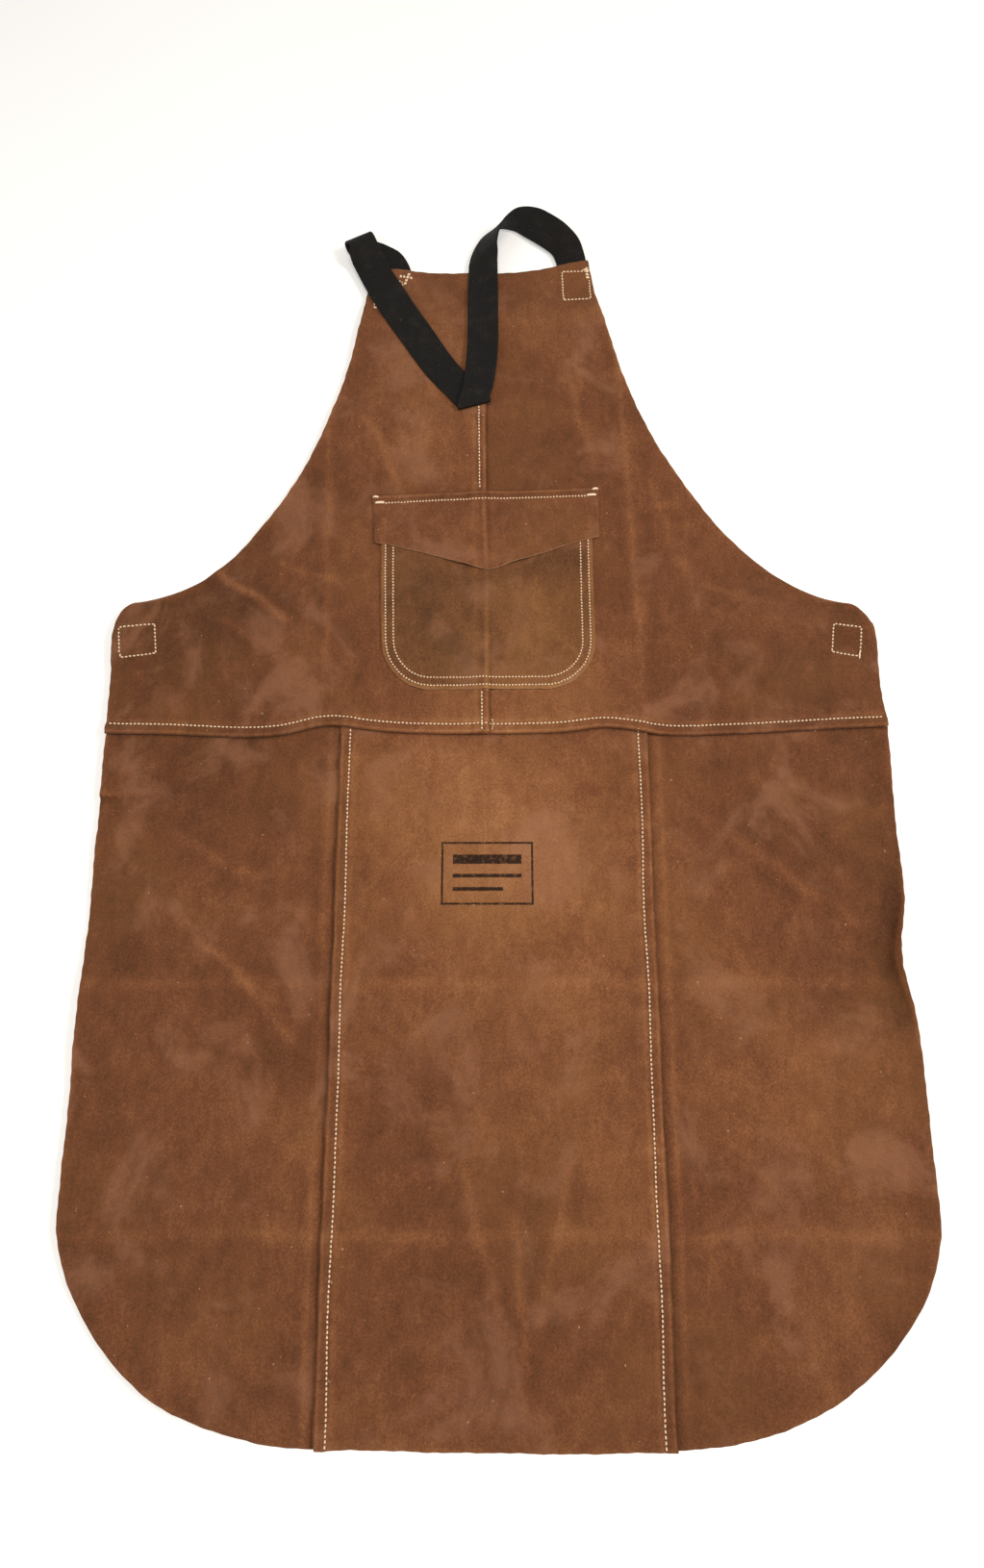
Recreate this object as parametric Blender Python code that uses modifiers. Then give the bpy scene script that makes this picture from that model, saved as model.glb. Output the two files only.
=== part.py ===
"""Split-leather welding apron with a bib, a flapped chest pocket and webbing straps.

The apron lies flat with its front face up, as it is laid out for storage. X runs across it, Y runs
towards the neck and Z up. The origin is the middle of the waist seam, on the surface underneath.
Pieces are laid one on another in the order they rest, each a small gap above what it covers.
All sizes are in metres.
"""

import math

import bmesh
import bpy
from mathutils import Matrix, Vector
from mathutils.bvhtree import BVHTree

# Leather panels
WIDTH = 0.610
LENGTH = 0.914
BIB_HEIGHT = 0.426
SKIRT_BOTTOM = BIB_HEIGHT - LENGTH
LEATHER = 0.0014
LAP = 0.012
GAP = 0.0004
SKIRT_SEAMS = (-0.1205, 0.1165)
SKIRT_CORNER = (0.190, 0.150)
HIP_SIDE = 0.077
HIP_CORNER = (0.018, 0.032)
ARMHOLE = ((0.287, 0.109), (0.208, 0.120), (0.124, 0.233), (0.097, BIB_HEIGHT))
BIB_LEAN = -0.0145
BIB_SEAM = (-0.0065, -0.0115)
TOP_RISE = (0.006, 0.0135)

# Pocket and flap
POCKET_X = -0.0082
POCKET_HALF = 0.0865
POCKET_BOTTOM = 0.036
POCKET_MOUTH = 0.185
POCKET_RADIUS = 0.040
POCKET_RISE = 0.008
FLAP_TILT = math.radians(1.9)
FLAP_HINGE = (-0.0090, 0.2018, 0.0056)
FLAP_HALF = (0.0935, 0.0905)
FLAP_SIDE = 0.0355
FLAP_TIP = 0.066
FLAP_BAND = 0.0065

# Webbing
WEB = 0.0014
WEB_HALF = 0.0127
FOLD_GAP = 0.0006
NECK_HINGE_Y = 0.436
NECK_ROLL = (0.0077, 0.0045)
STRAP_Y = HIP_SIDE
STRAP_END = 0.3003
STRAP_TAB = (0.300, 0.268)
TAB_HEIGHT = 0.0020

# Side-release buckle
BAR_X = 0.2195
BAR_Z = 0.0036
BAR_HALF = 0.0014
WRAP = 0.0036
BUCKLE_HEIGHT = 0.008
BUCKLE_HALF = 0.019
BUCKLE_SLOT = 0.0137
BUCKLE_BODY_X = 0.2120
SOCKET_MOUTH_X = 0.165
CAVITY_DEPTH = 0.028
CAVITY_HALF = 0.014
CAVITY_Z = (0.0014, 0.0066)
ARM_Z = (0.0022, 0.0058)
CUT_OVERRUN = 0.0006
PLUG_SHOULDER_X = 0.197
PLUG_TIP_X = 0.170

# Stitching
THREAD = 0.0004
THREAD_GAP = 0.0003
THREAD_STEP = 0.010
THREAD_REACH = 0.001
CELL_MARGIN = 0.0015
SEAM_STITCH = 0.0065
HIP_BOX = (0.0285, 0.024)
NECK_BOX = (0.0235, 0.030)

COLOURS = {
    "leather": ((0.195, 0.080, 0.033, 1.0), 0.90),
    "webbing": ((0.012, 0.011, 0.010, 1.0), 0.85),
    "thread": ((0.780, 0.570, 0.360, 1.0), 0.70),
    "buckle_plastic": ((0.014, 0.014, 0.015, 1.0), 0.45),
}

laid = []


# ---- Scene and materials

def clear_scene():
    for thing in list(bpy.data.objects):
        bpy.data.objects.remove(thing, do_unlink=True)


def new_collection(name):
    collection = bpy.data.collections.new(name)
    bpy.context.scene.collection.children.link(collection)
    return collection


def new_material(name, slot):
    colour, roughness = COLOURS[slot]
    material = bpy.data.materials.new(name)
    material.use_nodes = True
    shader = material.node_tree.nodes["Principled BSDF"]
    shader.inputs["Base Color"].default_value = colour
    shader.inputs["Roughness"].default_value = roughness
    shader.inputs["Metallic"].default_value = 0.0
    return material


def new_object(name, data, slot, origin=(0.0, 0.0, 0.0)):
    thing = bpy.data.objects.new(name, data)
    thing.location = origin
    thing.data.materials.append(new_material(name + "_" + slot, slot))
    apron.objects.link(thing)
    return thing


# ---- Heights: what a piece rests on

def remember(thing):
    """Add a finished piece to the stack that later pieces rest on."""
    bpy.context.view_layer.update()
    depsgraph = bpy.context.evaluated_depsgraph_get()
    mesh = bmesh.new()
    mesh.from_object(thing, depsgraph)
    mesh.transform(thing.matrix_world)
    laid.append(BVHTree.FromBMesh(mesh))
    mesh.free()


def top_at(x, y):
    """Height of the highest piece at a point, or 0 where only the floor is."""
    hits = (tree.ray_cast(Vector((x, y, 0.2)), Vector((0.0, 0.0, -1.0)))[0] for tree in laid)
    return max((hit.z for hit in hits if hit is not None), default=0.0)


def highest_in(corners):
    """Highest point under a four-cornered cell, looked at on a grid a little larger than it."""
    centre = sum(corners, Vector()) / len(corners)
    spread = [corner + (corner - centre).normalized() * CELL_MARGIN for corner in corners]
    steps = max(3, math.ceil(max((spread[2] - spread[0]).length, (spread[3] - spread[1]).length) / 0.005))
    highest = 0.0
    for i in range(steps + 1):
        near = spread[0].lerp(spread[1], i / steps)
        far = spread[3].lerp(spread[2], i / steps)
        for j in range(steps + 1):
            point = near.lerp(far, j / steps)
            highest = max(highest, top_at(point.x, point.y))
    return highest


def drape(mesh):
    """Raise each vertex of a flat mesh over everything under the faces around it."""
    support = {vert: 0.0 for vert in mesh.verts}
    for face in mesh.faces:
        highest = highest_in([Vector((vert.co.x, vert.co.y, 0.0)) for vert in face.verts])
        for vert in face.verts:
            support[vert] = max(support[vert], highest)
    for vert, highest in support.items():
        vert.co.z = highest + GAP if highest > 0.0 else 0.0


# ---- Shapes

def mapped_grid(columns, rows, place):
    """A grid primitive whose vertex in column i and row j goes to place(i, j)."""
    mesh = bmesh.new()
    bmesh.ops.create_grid(mesh, x_segments=columns, y_segments=rows, size=0.5)
    for vert in mesh.verts:
        vert.co = place(round((vert.co.x + 0.5) * columns), round((vert.co.y + 0.5) * rows))
    return mesh


def thicken(thing, thickness):
    solidify = thing.modifiers.new("thickness", "SOLIDIFY")
    solidify.thickness = thickness
    solidify.offset = 1.0
    solidify.use_even_offset = True


def sheet_object(name, mesh, slot, thickness, origin=(0.0, 0.0, 0.0)):
    """Turn an open surface, which is the underside of a piece, into a solid sheet."""
    mesh.transform(Matrix.Translation(-Vector(origin)))
    data = bpy.data.meshes.new(name)
    mesh.to_mesh(data)
    mesh.free()
    thing = new_object(name, data, slot, origin)
    thicken(thing, thickness)
    return thing


def leather_panel(name, columns, rows, place):
    """A flat-cut panel draped over the pieces already laid."""
    mesh = mapped_grid(columns, rows, place)
    drape(mesh)
    panel = sheet_object(name, mesh, "leather", LEATHER)
    remember(panel)
    return panel


def ribbon(name, edges, origin=(0.0, 0.0, 0.0)):
    """Webbing through rows of (first edge point, second edge point)."""
    mesh = mapped_grid(1, len(edges) - 1, lambda i, j: Vector(edges[j][i]))
    return sheet_object(name, mesh, "webbing", WEB, origin)


def box(name, low, high, collection):
    """A box between two corners, as a cube primitive."""
    mesh = bmesh.new()
    bmesh.ops.create_cube(mesh, size=1.0)
    centre = (Vector(low) + Vector(high)) / 2
    size = Vector(high) - Vector(low)
    for vert in mesh.verts:
        vert.co = centre + Vector((vert.co.x * size.x, vert.co.y * size.y, vert.co.z * size.z))
    data = bpy.data.meshes.new(name)
    mesh.to_mesh(data)
    mesh.free()
    thing = bpy.data.objects.new(name, data)
    collection.objects.link(thing)
    return thing


def combine(thing, operation, pieces):
    """Boolean a list of boxes, given as (name, low, high), with a solid."""
    for name, low, high in pieces:
        tool = box(name, low, high, cutters)
        tool.hide_render = True
        tool.display_type = "WIRE"
        modifier = thing.modifiers.new(name, "BOOLEAN")
        modifier.operation = operation
        modifier.object = tool


# ---- Outlines

def bezier(points, t):
    weights = ((1 - t) ** 3, 3 * t * (1 - t) ** 2, 3 * t * t * (1 - t), t ** 3)
    return [sum(weight * point[axis] for weight, point in zip(weights, points)) for axis in (0, 1)]


def bib_rows():
    """The bib's side as (half width, height) from the waist to the top edge."""
    rows = [(WIDTH / 2, y) for y in (0.0, 0.014, 0.028, 0.052)]
    for k in range(3):
        angle = k * math.pi / 6
        rows.append((ARMHOLE[0][0] + HIP_CORNER[0] * math.cos(angle),
                     HIP_SIDE + HIP_CORNER[1] * math.sin(angle)))
    rows += [tuple(bezier(ARMHOLE, k / 14)) for k in range(15)]
    return rows


def lean(y):
    return BIB_LEAN * y / BIB_HEIGHT


def bib_seam(y):
    return BIB_SEAM[0] + (BIB_SEAM[1] - BIB_SEAM[0]) * y / BIB_HEIGHT


def bib_point(x, half, y):
    """Bend the top rows up a little towards the corners."""
    across = (x - lean(y)) / half
    rise = TOP_RISE[1] if across > 0 else TOP_RISE[0]
    return Vector((x, y + rise * across ** 2 * (y / BIB_HEIGHT) ** 8, 0.0))


def skirt_bottom(x):
    """Height of the skirt's lower edge, with elliptical corners."""
    out = max(0.0, abs(x) - (WIDTH / 2 - SKIRT_CORNER[0])) / SKIRT_CORNER[0]
    return SKIRT_BOTTOM + SKIRT_CORNER[1] * (1 - math.sqrt(max(0.0, 1 - out * out)))


def pocket_bottom(x):
    out = max(0.0, abs(x) - (POCKET_HALF - POCKET_RADIUS))
    return POCKET_BOTTOM + POCKET_RADIUS - math.sqrt(max(0.0, POCKET_RADIUS ** 2 - out * out))


def flap_point(u, v):
    """A point u across and v down from the middle of the flap's hinge line."""
    x = FLAP_HINGE[0] + u * math.cos(FLAP_TILT) + v * math.sin(FLAP_TILT)
    y = FLAP_HINGE[1] + u * math.sin(FLAP_TILT) - v * math.cos(FLAP_TILT)
    return Vector((x, y, 0.0))


# ---- Skirt and bib panels

def skirt_side(name, side):
    seam = SKIRT_SEAMS[0] if side < 0 else SKIRT_SEAMS[1]
    inner = WIDTH / 2 - SKIRT_CORNER[0]
    turns = (15, 30, 44, 58, 70, 80, 90)
    xs = [seam - side * LAP, seam + side * 0.002, seam + side * 0.014]
    xs += [side * (inner + SKIRT_CORNER[0] * math.sin(math.radians(turn))) for turn in turns]
    xs.sort()
    rows = 9

    def place(i, j):
        low = skirt_bottom(xs[i])
        return Vector((xs[i], low + (LAP - low) * j / rows, 0.0))

    return leather_panel(name, len(xs) - 1, rows, place)


def skirt_centre(name):
    left, right = SKIRT_SEAMS
    ramp = (LAP + 0.0025, LAP + 0.014, LAP + 0.045)
    xs = [left] + [left + step for step in ramp] + [0.0] + [right - step for step in reversed(ramp)] + [right]
    rows = 9
    return leather_panel(name, len(xs) - 1, rows, lambda i, j: Vector(
        (xs[i], SKIRT_BOTTOM + (LAP - SKIRT_BOTTOM) * j / rows, 0.0)))


def bib_side(name, side):
    """Half of the bib; the left half laps over the right one at the centre seam."""
    outline = bib_rows()
    inner = (-LAP, 0.003, 0.016, 0.030) if side > 0 else (0.0, LAP + 0.003, LAP + 0.016, LAP + 0.030)
    shares = (0.14, 0.28, 0.42, 0.56, 0.70, 0.84, 1.0)

    def place(i, j):
        half, y = outline[j]
        width = side * (lean(y) + side * half - bib_seam(y))
        steps = list(inner) + [inner[-1] + (width - inner[-1]) * share for share in shares]
        if side < 0:
            steps.reverse()
        return bib_point(bib_seam(y) + side * steps[i], half, y)

    return leather_panel(name, len(inner) + len(shares) - 1, len(outline) - 1, place)


# ---- Pocket

def pocket_patch(name):
    """A patch that bulges off the bib, open along its upper edge."""
    middle = (0.0, 0.018, 0.036)
    arc = [POCKET_HALF - POCKET_RADIUS * (1 - math.sin(math.radians(turn))) for turn in (0, 30, 60, 90)]
    right = list(middle) + arc
    xs = [-x for x in reversed(right[1:])] + right
    shares = (0.0, 0.05, 0.13, 0.25, 0.40, 0.56, 0.72, 0.87, 1.0)

    def place(i, j):
        low = pocket_bottom(xs[i])
        return Vector((POCKET_X + xs[i], low + (POCKET_MOUTH - low) * shares[j], 0.0))

    mesh = mapped_grid(len(xs) - 1, len(shares) - 1, place)
    drape(mesh)
    for vert in mesh.verts:
        x = vert.co.x - POCKET_X
        low = pocket_bottom(x)
        up = (vert.co.y - low) / (POCKET_MOUTH - low)
        bulge = (1 - (x / POCKET_HALF) ** 4) * (1 - (1 - up) ** 4)
        vert.co.z = max(vert.co.z, LEATHER + GAP + POCKET_RISE * bulge)
    patch = sheet_object(name, mesh, "leather", LEATHER)
    remember(patch)


def flap_band(name):
    """The strip of the flap above its topstitching, sewn down to the bib."""
    columns = 12
    return leather_panel(name, columns, 1, lambda i, j: flap_point(
        FLAP_HALF[0] * (2 * i / columns - 1), -GAP - (FLAP_BAND - GAP) * j))


def pocket_flap(name):
    """The free part of the flap, with its origin on the hinge line."""
    columns = 14
    shares = (0.0, 0.12, 0.22, 0.38, 0.58, 0.79, 1.0)

    def place(i, j):
        across = 2 * i / columns - 1
        depth = FLAP_SIDE + (FLAP_TIP - FLAP_SIDE) * (1 - abs(across))
        share = shares[len(shares) - 1 - j]
        half = FLAP_HALF[0] + (FLAP_HALF[1] - FLAP_HALF[0]) * share
        return flap_point(half * across, GAP + (depth - GAP) * share)

    mesh = mapped_grid(columns, len(shares) - 1, place)
    drape(mesh)
    flap = sheet_object(name, mesh, "leather", LEATHER, FLAP_HINGE)
    remember(flap)


# ---- Webbing straps

def edge_pair(x, y, z, angle, half=WEB_HALF, tilt=0.0):
    """Both edge points of a ribbon row; angle turns the row in plan and tilt raises its first edge."""
    turn, bank = math.radians(angle), math.radians(tilt)
    across = Vector((math.cos(turn) * math.cos(bank), math.sin(turn) * math.cos(bank), -math.sin(bank)))
    centre = Vector((x, y, z))
    return centre - across * half, centre + across * half


def fold_rows(x, y, z, angle, half, radii, out, steps=6):
    """Rows that carry a ribbon over a crease towards out degrees; radii are its first and second edge's."""
    first, second = edge_pair(x, y, z, angle, half)
    away = Vector((math.cos(math.radians(out)), math.sin(math.radians(out)), 0.0))
    rows = []
    for k in range(steps + 1):
        turn = math.pi * k / steps
        step = math.sin(turn) * away + (1 - math.cos(turn)) * Vector((0.0, 0.0, 1.0))
        rows.append((first + radii[0] * step, second + radii[1] * step))
    return rows


def neck_left_run(name):
    """From under the bib's left corner out to a rolled fold, and back to the hinge line."""
    rows = [edge_pair(-0.0905, 0.390, 0.0, 0), edge_pair(-0.0895, 0.411, 0.0, 9),
            edge_pair(-0.0890, 0.429, 0.0, 24), edge_pair(-0.0955, 0.4425, 0.0, 42),
            edge_pair(-0.1085, 0.4500, 0.0, 46)]
    rows += fold_rows(-0.1205, 0.4540, 0.0, 34, 0.0134, NECK_ROLL, 124)
    rows += [edge_pair(-0.1170, 0.4462, 0.0086, 30, 0.0138, 9),
             edge_pair(-0.1125, NECK_HINGE_Y + GAP, 0.0040, 0, 0.0142)]
    remember(ribbon(name, rows))


def neck_right_run(name):
    """From the hinge line up through a half twist and down under the bib's right corner."""
    turns = [(-0.0115, NECK_HINGE_Y + GAP, 0.0019, 0, 0), (-0.0105, 0.4440, 0.0064, -8, -22),
             (-0.0068, 0.4560, 0.0095, -42, -37), (-0.0016, 0.4655, 0.0110, -50, -50),
             (0.0068, 0.4730, 0.0117, -62, -62), (0.0178, 0.4758, 0.0121, -40, -80),
             (0.0312, 0.4725, 0.0120, 31, -63), (0.0428, 0.4664, 0.0111, 31, -50),
             (0.0540, 0.4598, 0.0088, 24, -37), (0.0625, 0.4530, 0.0053, 16, -20),
             (0.0670, 0.4440, 0.0015, 8, -4), (0.0690, 0.4330, 0.0, 4, 0),
             (0.0702, 0.4150, 0.0, 1, 0), (0.0715, 0.3900, 0.0, 0, 0)]
    rows = [edge_pair(x, y, z, angle, tilt=tilt) for x, y, z, angle, tilt in turns]
    remember(ribbon(name, rows))


def neck_loop(name):
    """The loop that lies on the bib: down to a V fold and up again, draped over the leather."""
    hinge = (-0.0600, NECK_HINGE_Y, 0.0064)
    down = [(-0.1125, NECK_HINGE_Y - GAP, 180, 0.0142), (-0.1025, 0.4150, 207, WEB_HALF),
            (-0.0900, 0.3920, 210, WEB_HALF), (-0.0700, 0.3620, 213, WEB_HALF),
            (-0.0470, 0.3270, 213, WEB_HALF), (-0.0264, 0.3010, 213, WEB_HALF)]
    up = [(-0.0160, 0.3060, 185, WEB_HALF), (-0.0125, 0.3340, 182, WEB_HALF)]
    up += [(-0.0115, y, 180, WEB_HALF) for y in (0.3540, 0.3850, 0.4150, NECK_HINGE_Y - GAP)]
    radius = WEB + FOLD_GAP / 2
    stacked = 2

    def rest(rows, k):
        pairs = [edge_pair(x, y, 0.0, angle, half) for x, y, angle, half in rows[max(0, k - 1):k + 2]]
        cells = [[a[0], a[1], b[1], b[0]] for a, b in zip(pairs, pairs[1:])]
        return max(highest_in(cell) for cell in cells) + GAP

    edges = []
    for k, (x, y, angle, half) in enumerate(down):
        height = rest(down, k)
        edges.append(edge_pair(x, y, height, angle, half))
    edges += fold_rows(-0.0188, 0.2910, height, 195, 0.0137, (radius, radius), -75)
    for k, (x, y, angle, half) in enumerate(up):
        height = rest(up, k) + (2 * radius if k < stacked else WEB)
        edges.append(edge_pair(x, y, height, angle, half))
    remember(ribbon(name, edges, hinge))


def waist_tab(name, side):
    """The strap's sewn end, flat against the back of the hip."""
    rows = [edge_pair(side * x, STRAP_Y, TAB_HEIGHT, -90) for x in STRAP_TAB]
    if side > 0:
        rows.reverse()
    remember(ribbon(name, rows))


def waist_strap(name, side, tail):
    """From its fold at the hip under the bib, round the buckle's bar and back on itself."""
    rows = [edge_pair(side * STRAP_END, STRAP_Y, 0.0, side * 90),
            edge_pair(side * 0.255, STRAP_Y, 0.0, side * 90)]
    for k in range(9):
        turn = math.pi * k / 8
        rows.append(edge_pair(side * (BAR_X - WRAP * math.sin(turn)), STRAP_Y,
                              BAR_Z - WRAP * math.cos(turn), side * 90))
    rows.append(edge_pair(side * 0.232, STRAP_Y, 2 * WEB + 0.0012, side * 90))
    rows.append(edge_pair(side * tail, STRAP_Y, 2 * WEB + GAP, side * 90))
    remember(ribbon(name, rows, (side * (STRAP_END + GAP), STRAP_Y, 0.0017)))


# ---- Buckle

def buckle_frame(name, side, inner_x):
    """A buckle half as a block with a webbing slot and a bar slim enough to wrap."""
    def span(low_x, high_x, low_y, high_y, low_z, high_z):
        xs = sorted((side * low_x, side * high_x))
        return (xs[0], STRAP_Y + low_y, low_z), (xs[1], STRAP_Y + high_y, high_z)

    outer_x = BAR_X + BAR_HALF
    thing = box(name, *span(inner_x, outer_x, -BUCKLE_HALF, BUCKLE_HALF, 0.0, BUCKLE_HEIGHT), apron)
    thing.data.materials.append(new_material(name + "_plastic", "buckle_plastic"))
    slot = (-BUCKLE_SLOT, BUCKLE_SLOT)
    below, above = -CUT_OVERRUN, BUCKLE_HEIGHT + CUT_OVERRUN
    past_bar = (BAR_X - BAR_HALF - CUT_OVERRUN, outer_x + CUT_OVERRUN)
    combine(thing, "DIFFERENCE", [
        (name + "_slot_cut", *span(BUCKLE_BODY_X, BAR_X - BAR_HALF, *slot, below, above)),
        (name + "_under_bar_cut", *span(*past_bar, *slot, below, BAR_Z - BAR_HALF)),
        (name + "_over_bar_cut", *span(*past_bar, *slot, BAR_Z + BAR_HALF, above))])
    return thing, span


def round_edges(thing, width):
    bevel = thing.modifiers.new("rounded_edges", "BEVEL")
    bevel.width = width
    bevel.segments = 1
    bevel.limit_method = "ANGLE"


def buckle_socket(name):
    thing, span = buckle_frame(name, -1, SOCKET_MOUTH_X)
    window = (SOCKET_MOUTH_X + 0.008, SOCKET_MOUTH_X + 0.019)
    combine(thing, "DIFFERENCE", [
        (name + "_cavity_cut", *span(SOCKET_MOUTH_X - 0.001, SOCKET_MOUTH_X + CAVITY_DEPTH,
                                     -CAVITY_HALF, CAVITY_HALF, *CAVITY_Z)),
        (name + "_window_cut", *span(*window, -0.02, 0.02, 0.0016, 0.0064))])
    round_edges(thing, 0.0006)
    remember(thing)


def buckle_plug(name):
    thing, span = buckle_frame(name, 1, PLUG_SHOULDER_X)
    arms = []
    for k, side in (("upper", 1), ("lower", -1)):
        root, tip = sorted((side * 0.0095, side * 0.0125)), sorted((side * 0.0095, side * 0.0136))
        arms.append((name + "_arm_" + k, *span(PLUG_TIP_X, PLUG_SHOULDER_X + 0.001, *root, *ARM_Z)))
        arms.append((name + "_barb_" + k, *span(PLUG_TIP_X + 0.003, PLUG_TIP_X + 0.012, *tip, *ARM_Z)))
    arms.append((name + "_guide", *span(PLUG_TIP_X + 0.002, PLUG_SHOULDER_X + 0.001, -0.002, 0.002, *ARM_Z)))
    combine(thing, "UNION", arms)
    round_edges(thing, 0.0005)
    remember(thing)


# ---- Stitching

def stitch_row(name, route, closed=False):
    """A row of thread along a route in plan, just above the surface it is sewn through."""
    points = [Vector((x, y, 0.0)) for x, y in route]
    if closed:
        points.append(points[0].copy())
    path = []
    for start, end in zip(points, points[1:]):
        steps = max(1, math.ceil((end - start).length / THREAD_STEP))
        path += [start.lerp(end, k / steps) for k in range(steps)]
    if not closed:
        path.append(points[-1])
    reach = [Vector((x, y, 0.0)) for x, y in ((0, 0), (THREAD_REACH, 0), (-THREAD_REACH, 0),
                                              (0, THREAD_REACH), (0, -THREAD_REACH))]
    heights = []
    for k, point in enumerate(path):
        before = path[k - 1] if k or closed else point
        after = path[(k + 1) % len(path)] if k + 1 < len(path) or closed else point
        nearby = [before.lerp(point, t / 8) for t in range(9)] + [point.lerp(after, t / 8) for t in range(9)]
        heights.append(max(top_at(spot.x + side.x, spot.y + side.y) for spot in nearby for side in reach))
    data = bpy.data.curves.new(name, "CURVE")
    data.dimensions = "3D"
    data.bevel_depth = THREAD
    data.bevel_resolution = 1
    data.use_fill_caps = not closed
    spline = data.splines.new("POLY")
    spline.points.add(len(path) - 1)
    for spot, point, height in zip(spline.points, path, heights):
        spot.co = (point.x, point.y, height + THREAD + THREAD_GAP, 1.0)
    spline.use_cyclic_u = closed
    new_object(name, data, "thread")


def rectangle(x, y, width, height):
    """Corner points of a stitched box from its centre and size."""
    return [(x - width / 2, y - height / 2), (x + width / 2, y - height / 2),
            (x + width / 2, y + height / 2), (x - width / 2, y + height / 2)]


def pocket_route(inset):
    """A U-shaped row inside the patch's edge, from mouth to mouth."""
    half, radius, low = POCKET_HALF - inset, POCKET_RADIUS - inset, POCKET_BOTTOM + inset
    top = POCKET_MOUTH - 0.002
    route = [(POCKET_X - half, top)]
    for start, centre in ((180, -half + radius), (270, half - radius)):
        for k in range(7):
            angle = math.radians(start + 15 * k)
            route.append((POCKET_X + centre + radius * math.cos(angle),
                          low + radius + radius * math.sin(angle)))
    route.append((POCKET_X + half, top))
    return route


def all_stitching():
    stitch_row("bib_seam_thread", [(bib_seam(y) - 0.005, y) for y in (0.424, 0.2125)])
    stitch_row("bib_seam_lower_thread", [(bib_seam(y) - 0.005, y) for y in (0.0335, 0.0105)])
    stitch_row("waist_seam_thread", [(x * (WIDTH / 2 - 0.003), 0.007) for x in (-1, 1)])
    for name, x in (("skirt_left_seam_thread", SKIRT_SEAMS[0] + SEAM_STITCH),
                    ("skirt_right_seam_thread", SKIRT_SEAMS[1] - SEAM_STITCH)):
        stitch_row(name, [(x, -0.0025), (x, SKIRT_BOTTOM + 0.002)])
    stitch_row("pocket_outer_thread", pocket_route(0.003))
    stitch_row("pocket_inner_thread", pocket_route(0.0095))
    ends = [flap_point(u, -0.0016) for u in (-FLAP_HALF[0] + 0.002, FLAP_HALF[0] - 0.002)]
    stitch_row("flap_topstitch_thread", [(end.x, end.y) for end in ends])
    stitch_row("neck_left_box_thread", rectangle(-0.0925, 0.4040, *NECK_BOX), closed=True)
    stitch_row("neck_right_box_thread", rectangle(0.0715, 0.4140, *NECK_BOX), closed=True)
    hip = WIDTH / 2 - 0.0046 - HIP_BOX[0] / 2
    for name, side in (("hip_left_box_thread", -1), ("hip_right_box_thread", 1)):
        stitch_row(name, rectangle(lean(STRAP_Y) + side * hip, STRAP_Y, *HIP_BOX), closed=True)


# ---- Assembly, from the floor up

clear_scene()
apron = new_collection("welding_apron")
cutters = new_collection("cutters")

neck_left_run("neck_strap_left_run")
neck_right_run("neck_strap_right_run")
waist_tab("waist_strap_left_tab", -1)
waist_tab("waist_strap_right_tab", 1)
waist_strap("waist_strap_left", -1, 0.246)
waist_strap("waist_strap_right", 1, 0.262)
buckle_socket("buckle_socket")
buckle_plug("buckle_plug")
skirt_side("skirt_left_panel", -1)
skirt_side("skirt_right_panel", 1)
skirt_centre("skirt_centre_panel")
bib_side("bib_right_panel", 1)
bib_side("bib_left_panel", -1)
pocket_patch("pocket_patch")
flap_band("pocket_flap_band")
pocket_flap("pocket_flap")
neck_loop("neck_strap_loop")
all_stitching()
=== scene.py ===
"""The welding apron's looks: suede panels, separate stitches, woven webbing and a moulded buckle.

Every leather piece is a fine grid over its own outline. The pieces are laid one on another on a raster of
heights, from the floor up, and one relief of folds, puckers and creases lifts the whole stack together, so
that the layers stay clear of each other. Sizes are in metres, in the frame's axes.
"""

import math

import bpy
import numpy as np
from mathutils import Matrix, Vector


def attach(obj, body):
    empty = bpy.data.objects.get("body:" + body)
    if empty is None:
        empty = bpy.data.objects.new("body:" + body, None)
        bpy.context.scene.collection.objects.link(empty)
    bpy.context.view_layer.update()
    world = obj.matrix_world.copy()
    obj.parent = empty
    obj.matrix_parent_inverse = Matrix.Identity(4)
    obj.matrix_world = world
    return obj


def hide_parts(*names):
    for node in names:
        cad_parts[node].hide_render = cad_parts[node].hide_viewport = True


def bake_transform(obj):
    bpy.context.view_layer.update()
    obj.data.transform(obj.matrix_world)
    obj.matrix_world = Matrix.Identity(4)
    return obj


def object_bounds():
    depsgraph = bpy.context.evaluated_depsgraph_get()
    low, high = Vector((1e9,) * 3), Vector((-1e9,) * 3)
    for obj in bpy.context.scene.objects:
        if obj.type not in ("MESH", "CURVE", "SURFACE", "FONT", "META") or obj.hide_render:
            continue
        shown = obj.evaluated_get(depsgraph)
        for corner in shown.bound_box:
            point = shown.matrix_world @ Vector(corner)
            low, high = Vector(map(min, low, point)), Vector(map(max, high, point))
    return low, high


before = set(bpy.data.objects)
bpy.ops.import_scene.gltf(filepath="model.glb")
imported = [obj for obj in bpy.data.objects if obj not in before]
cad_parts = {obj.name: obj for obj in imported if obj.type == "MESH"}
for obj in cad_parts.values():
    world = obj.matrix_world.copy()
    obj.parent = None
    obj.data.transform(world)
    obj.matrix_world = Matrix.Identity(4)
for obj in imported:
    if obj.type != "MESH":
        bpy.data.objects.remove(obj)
cad_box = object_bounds()

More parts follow.
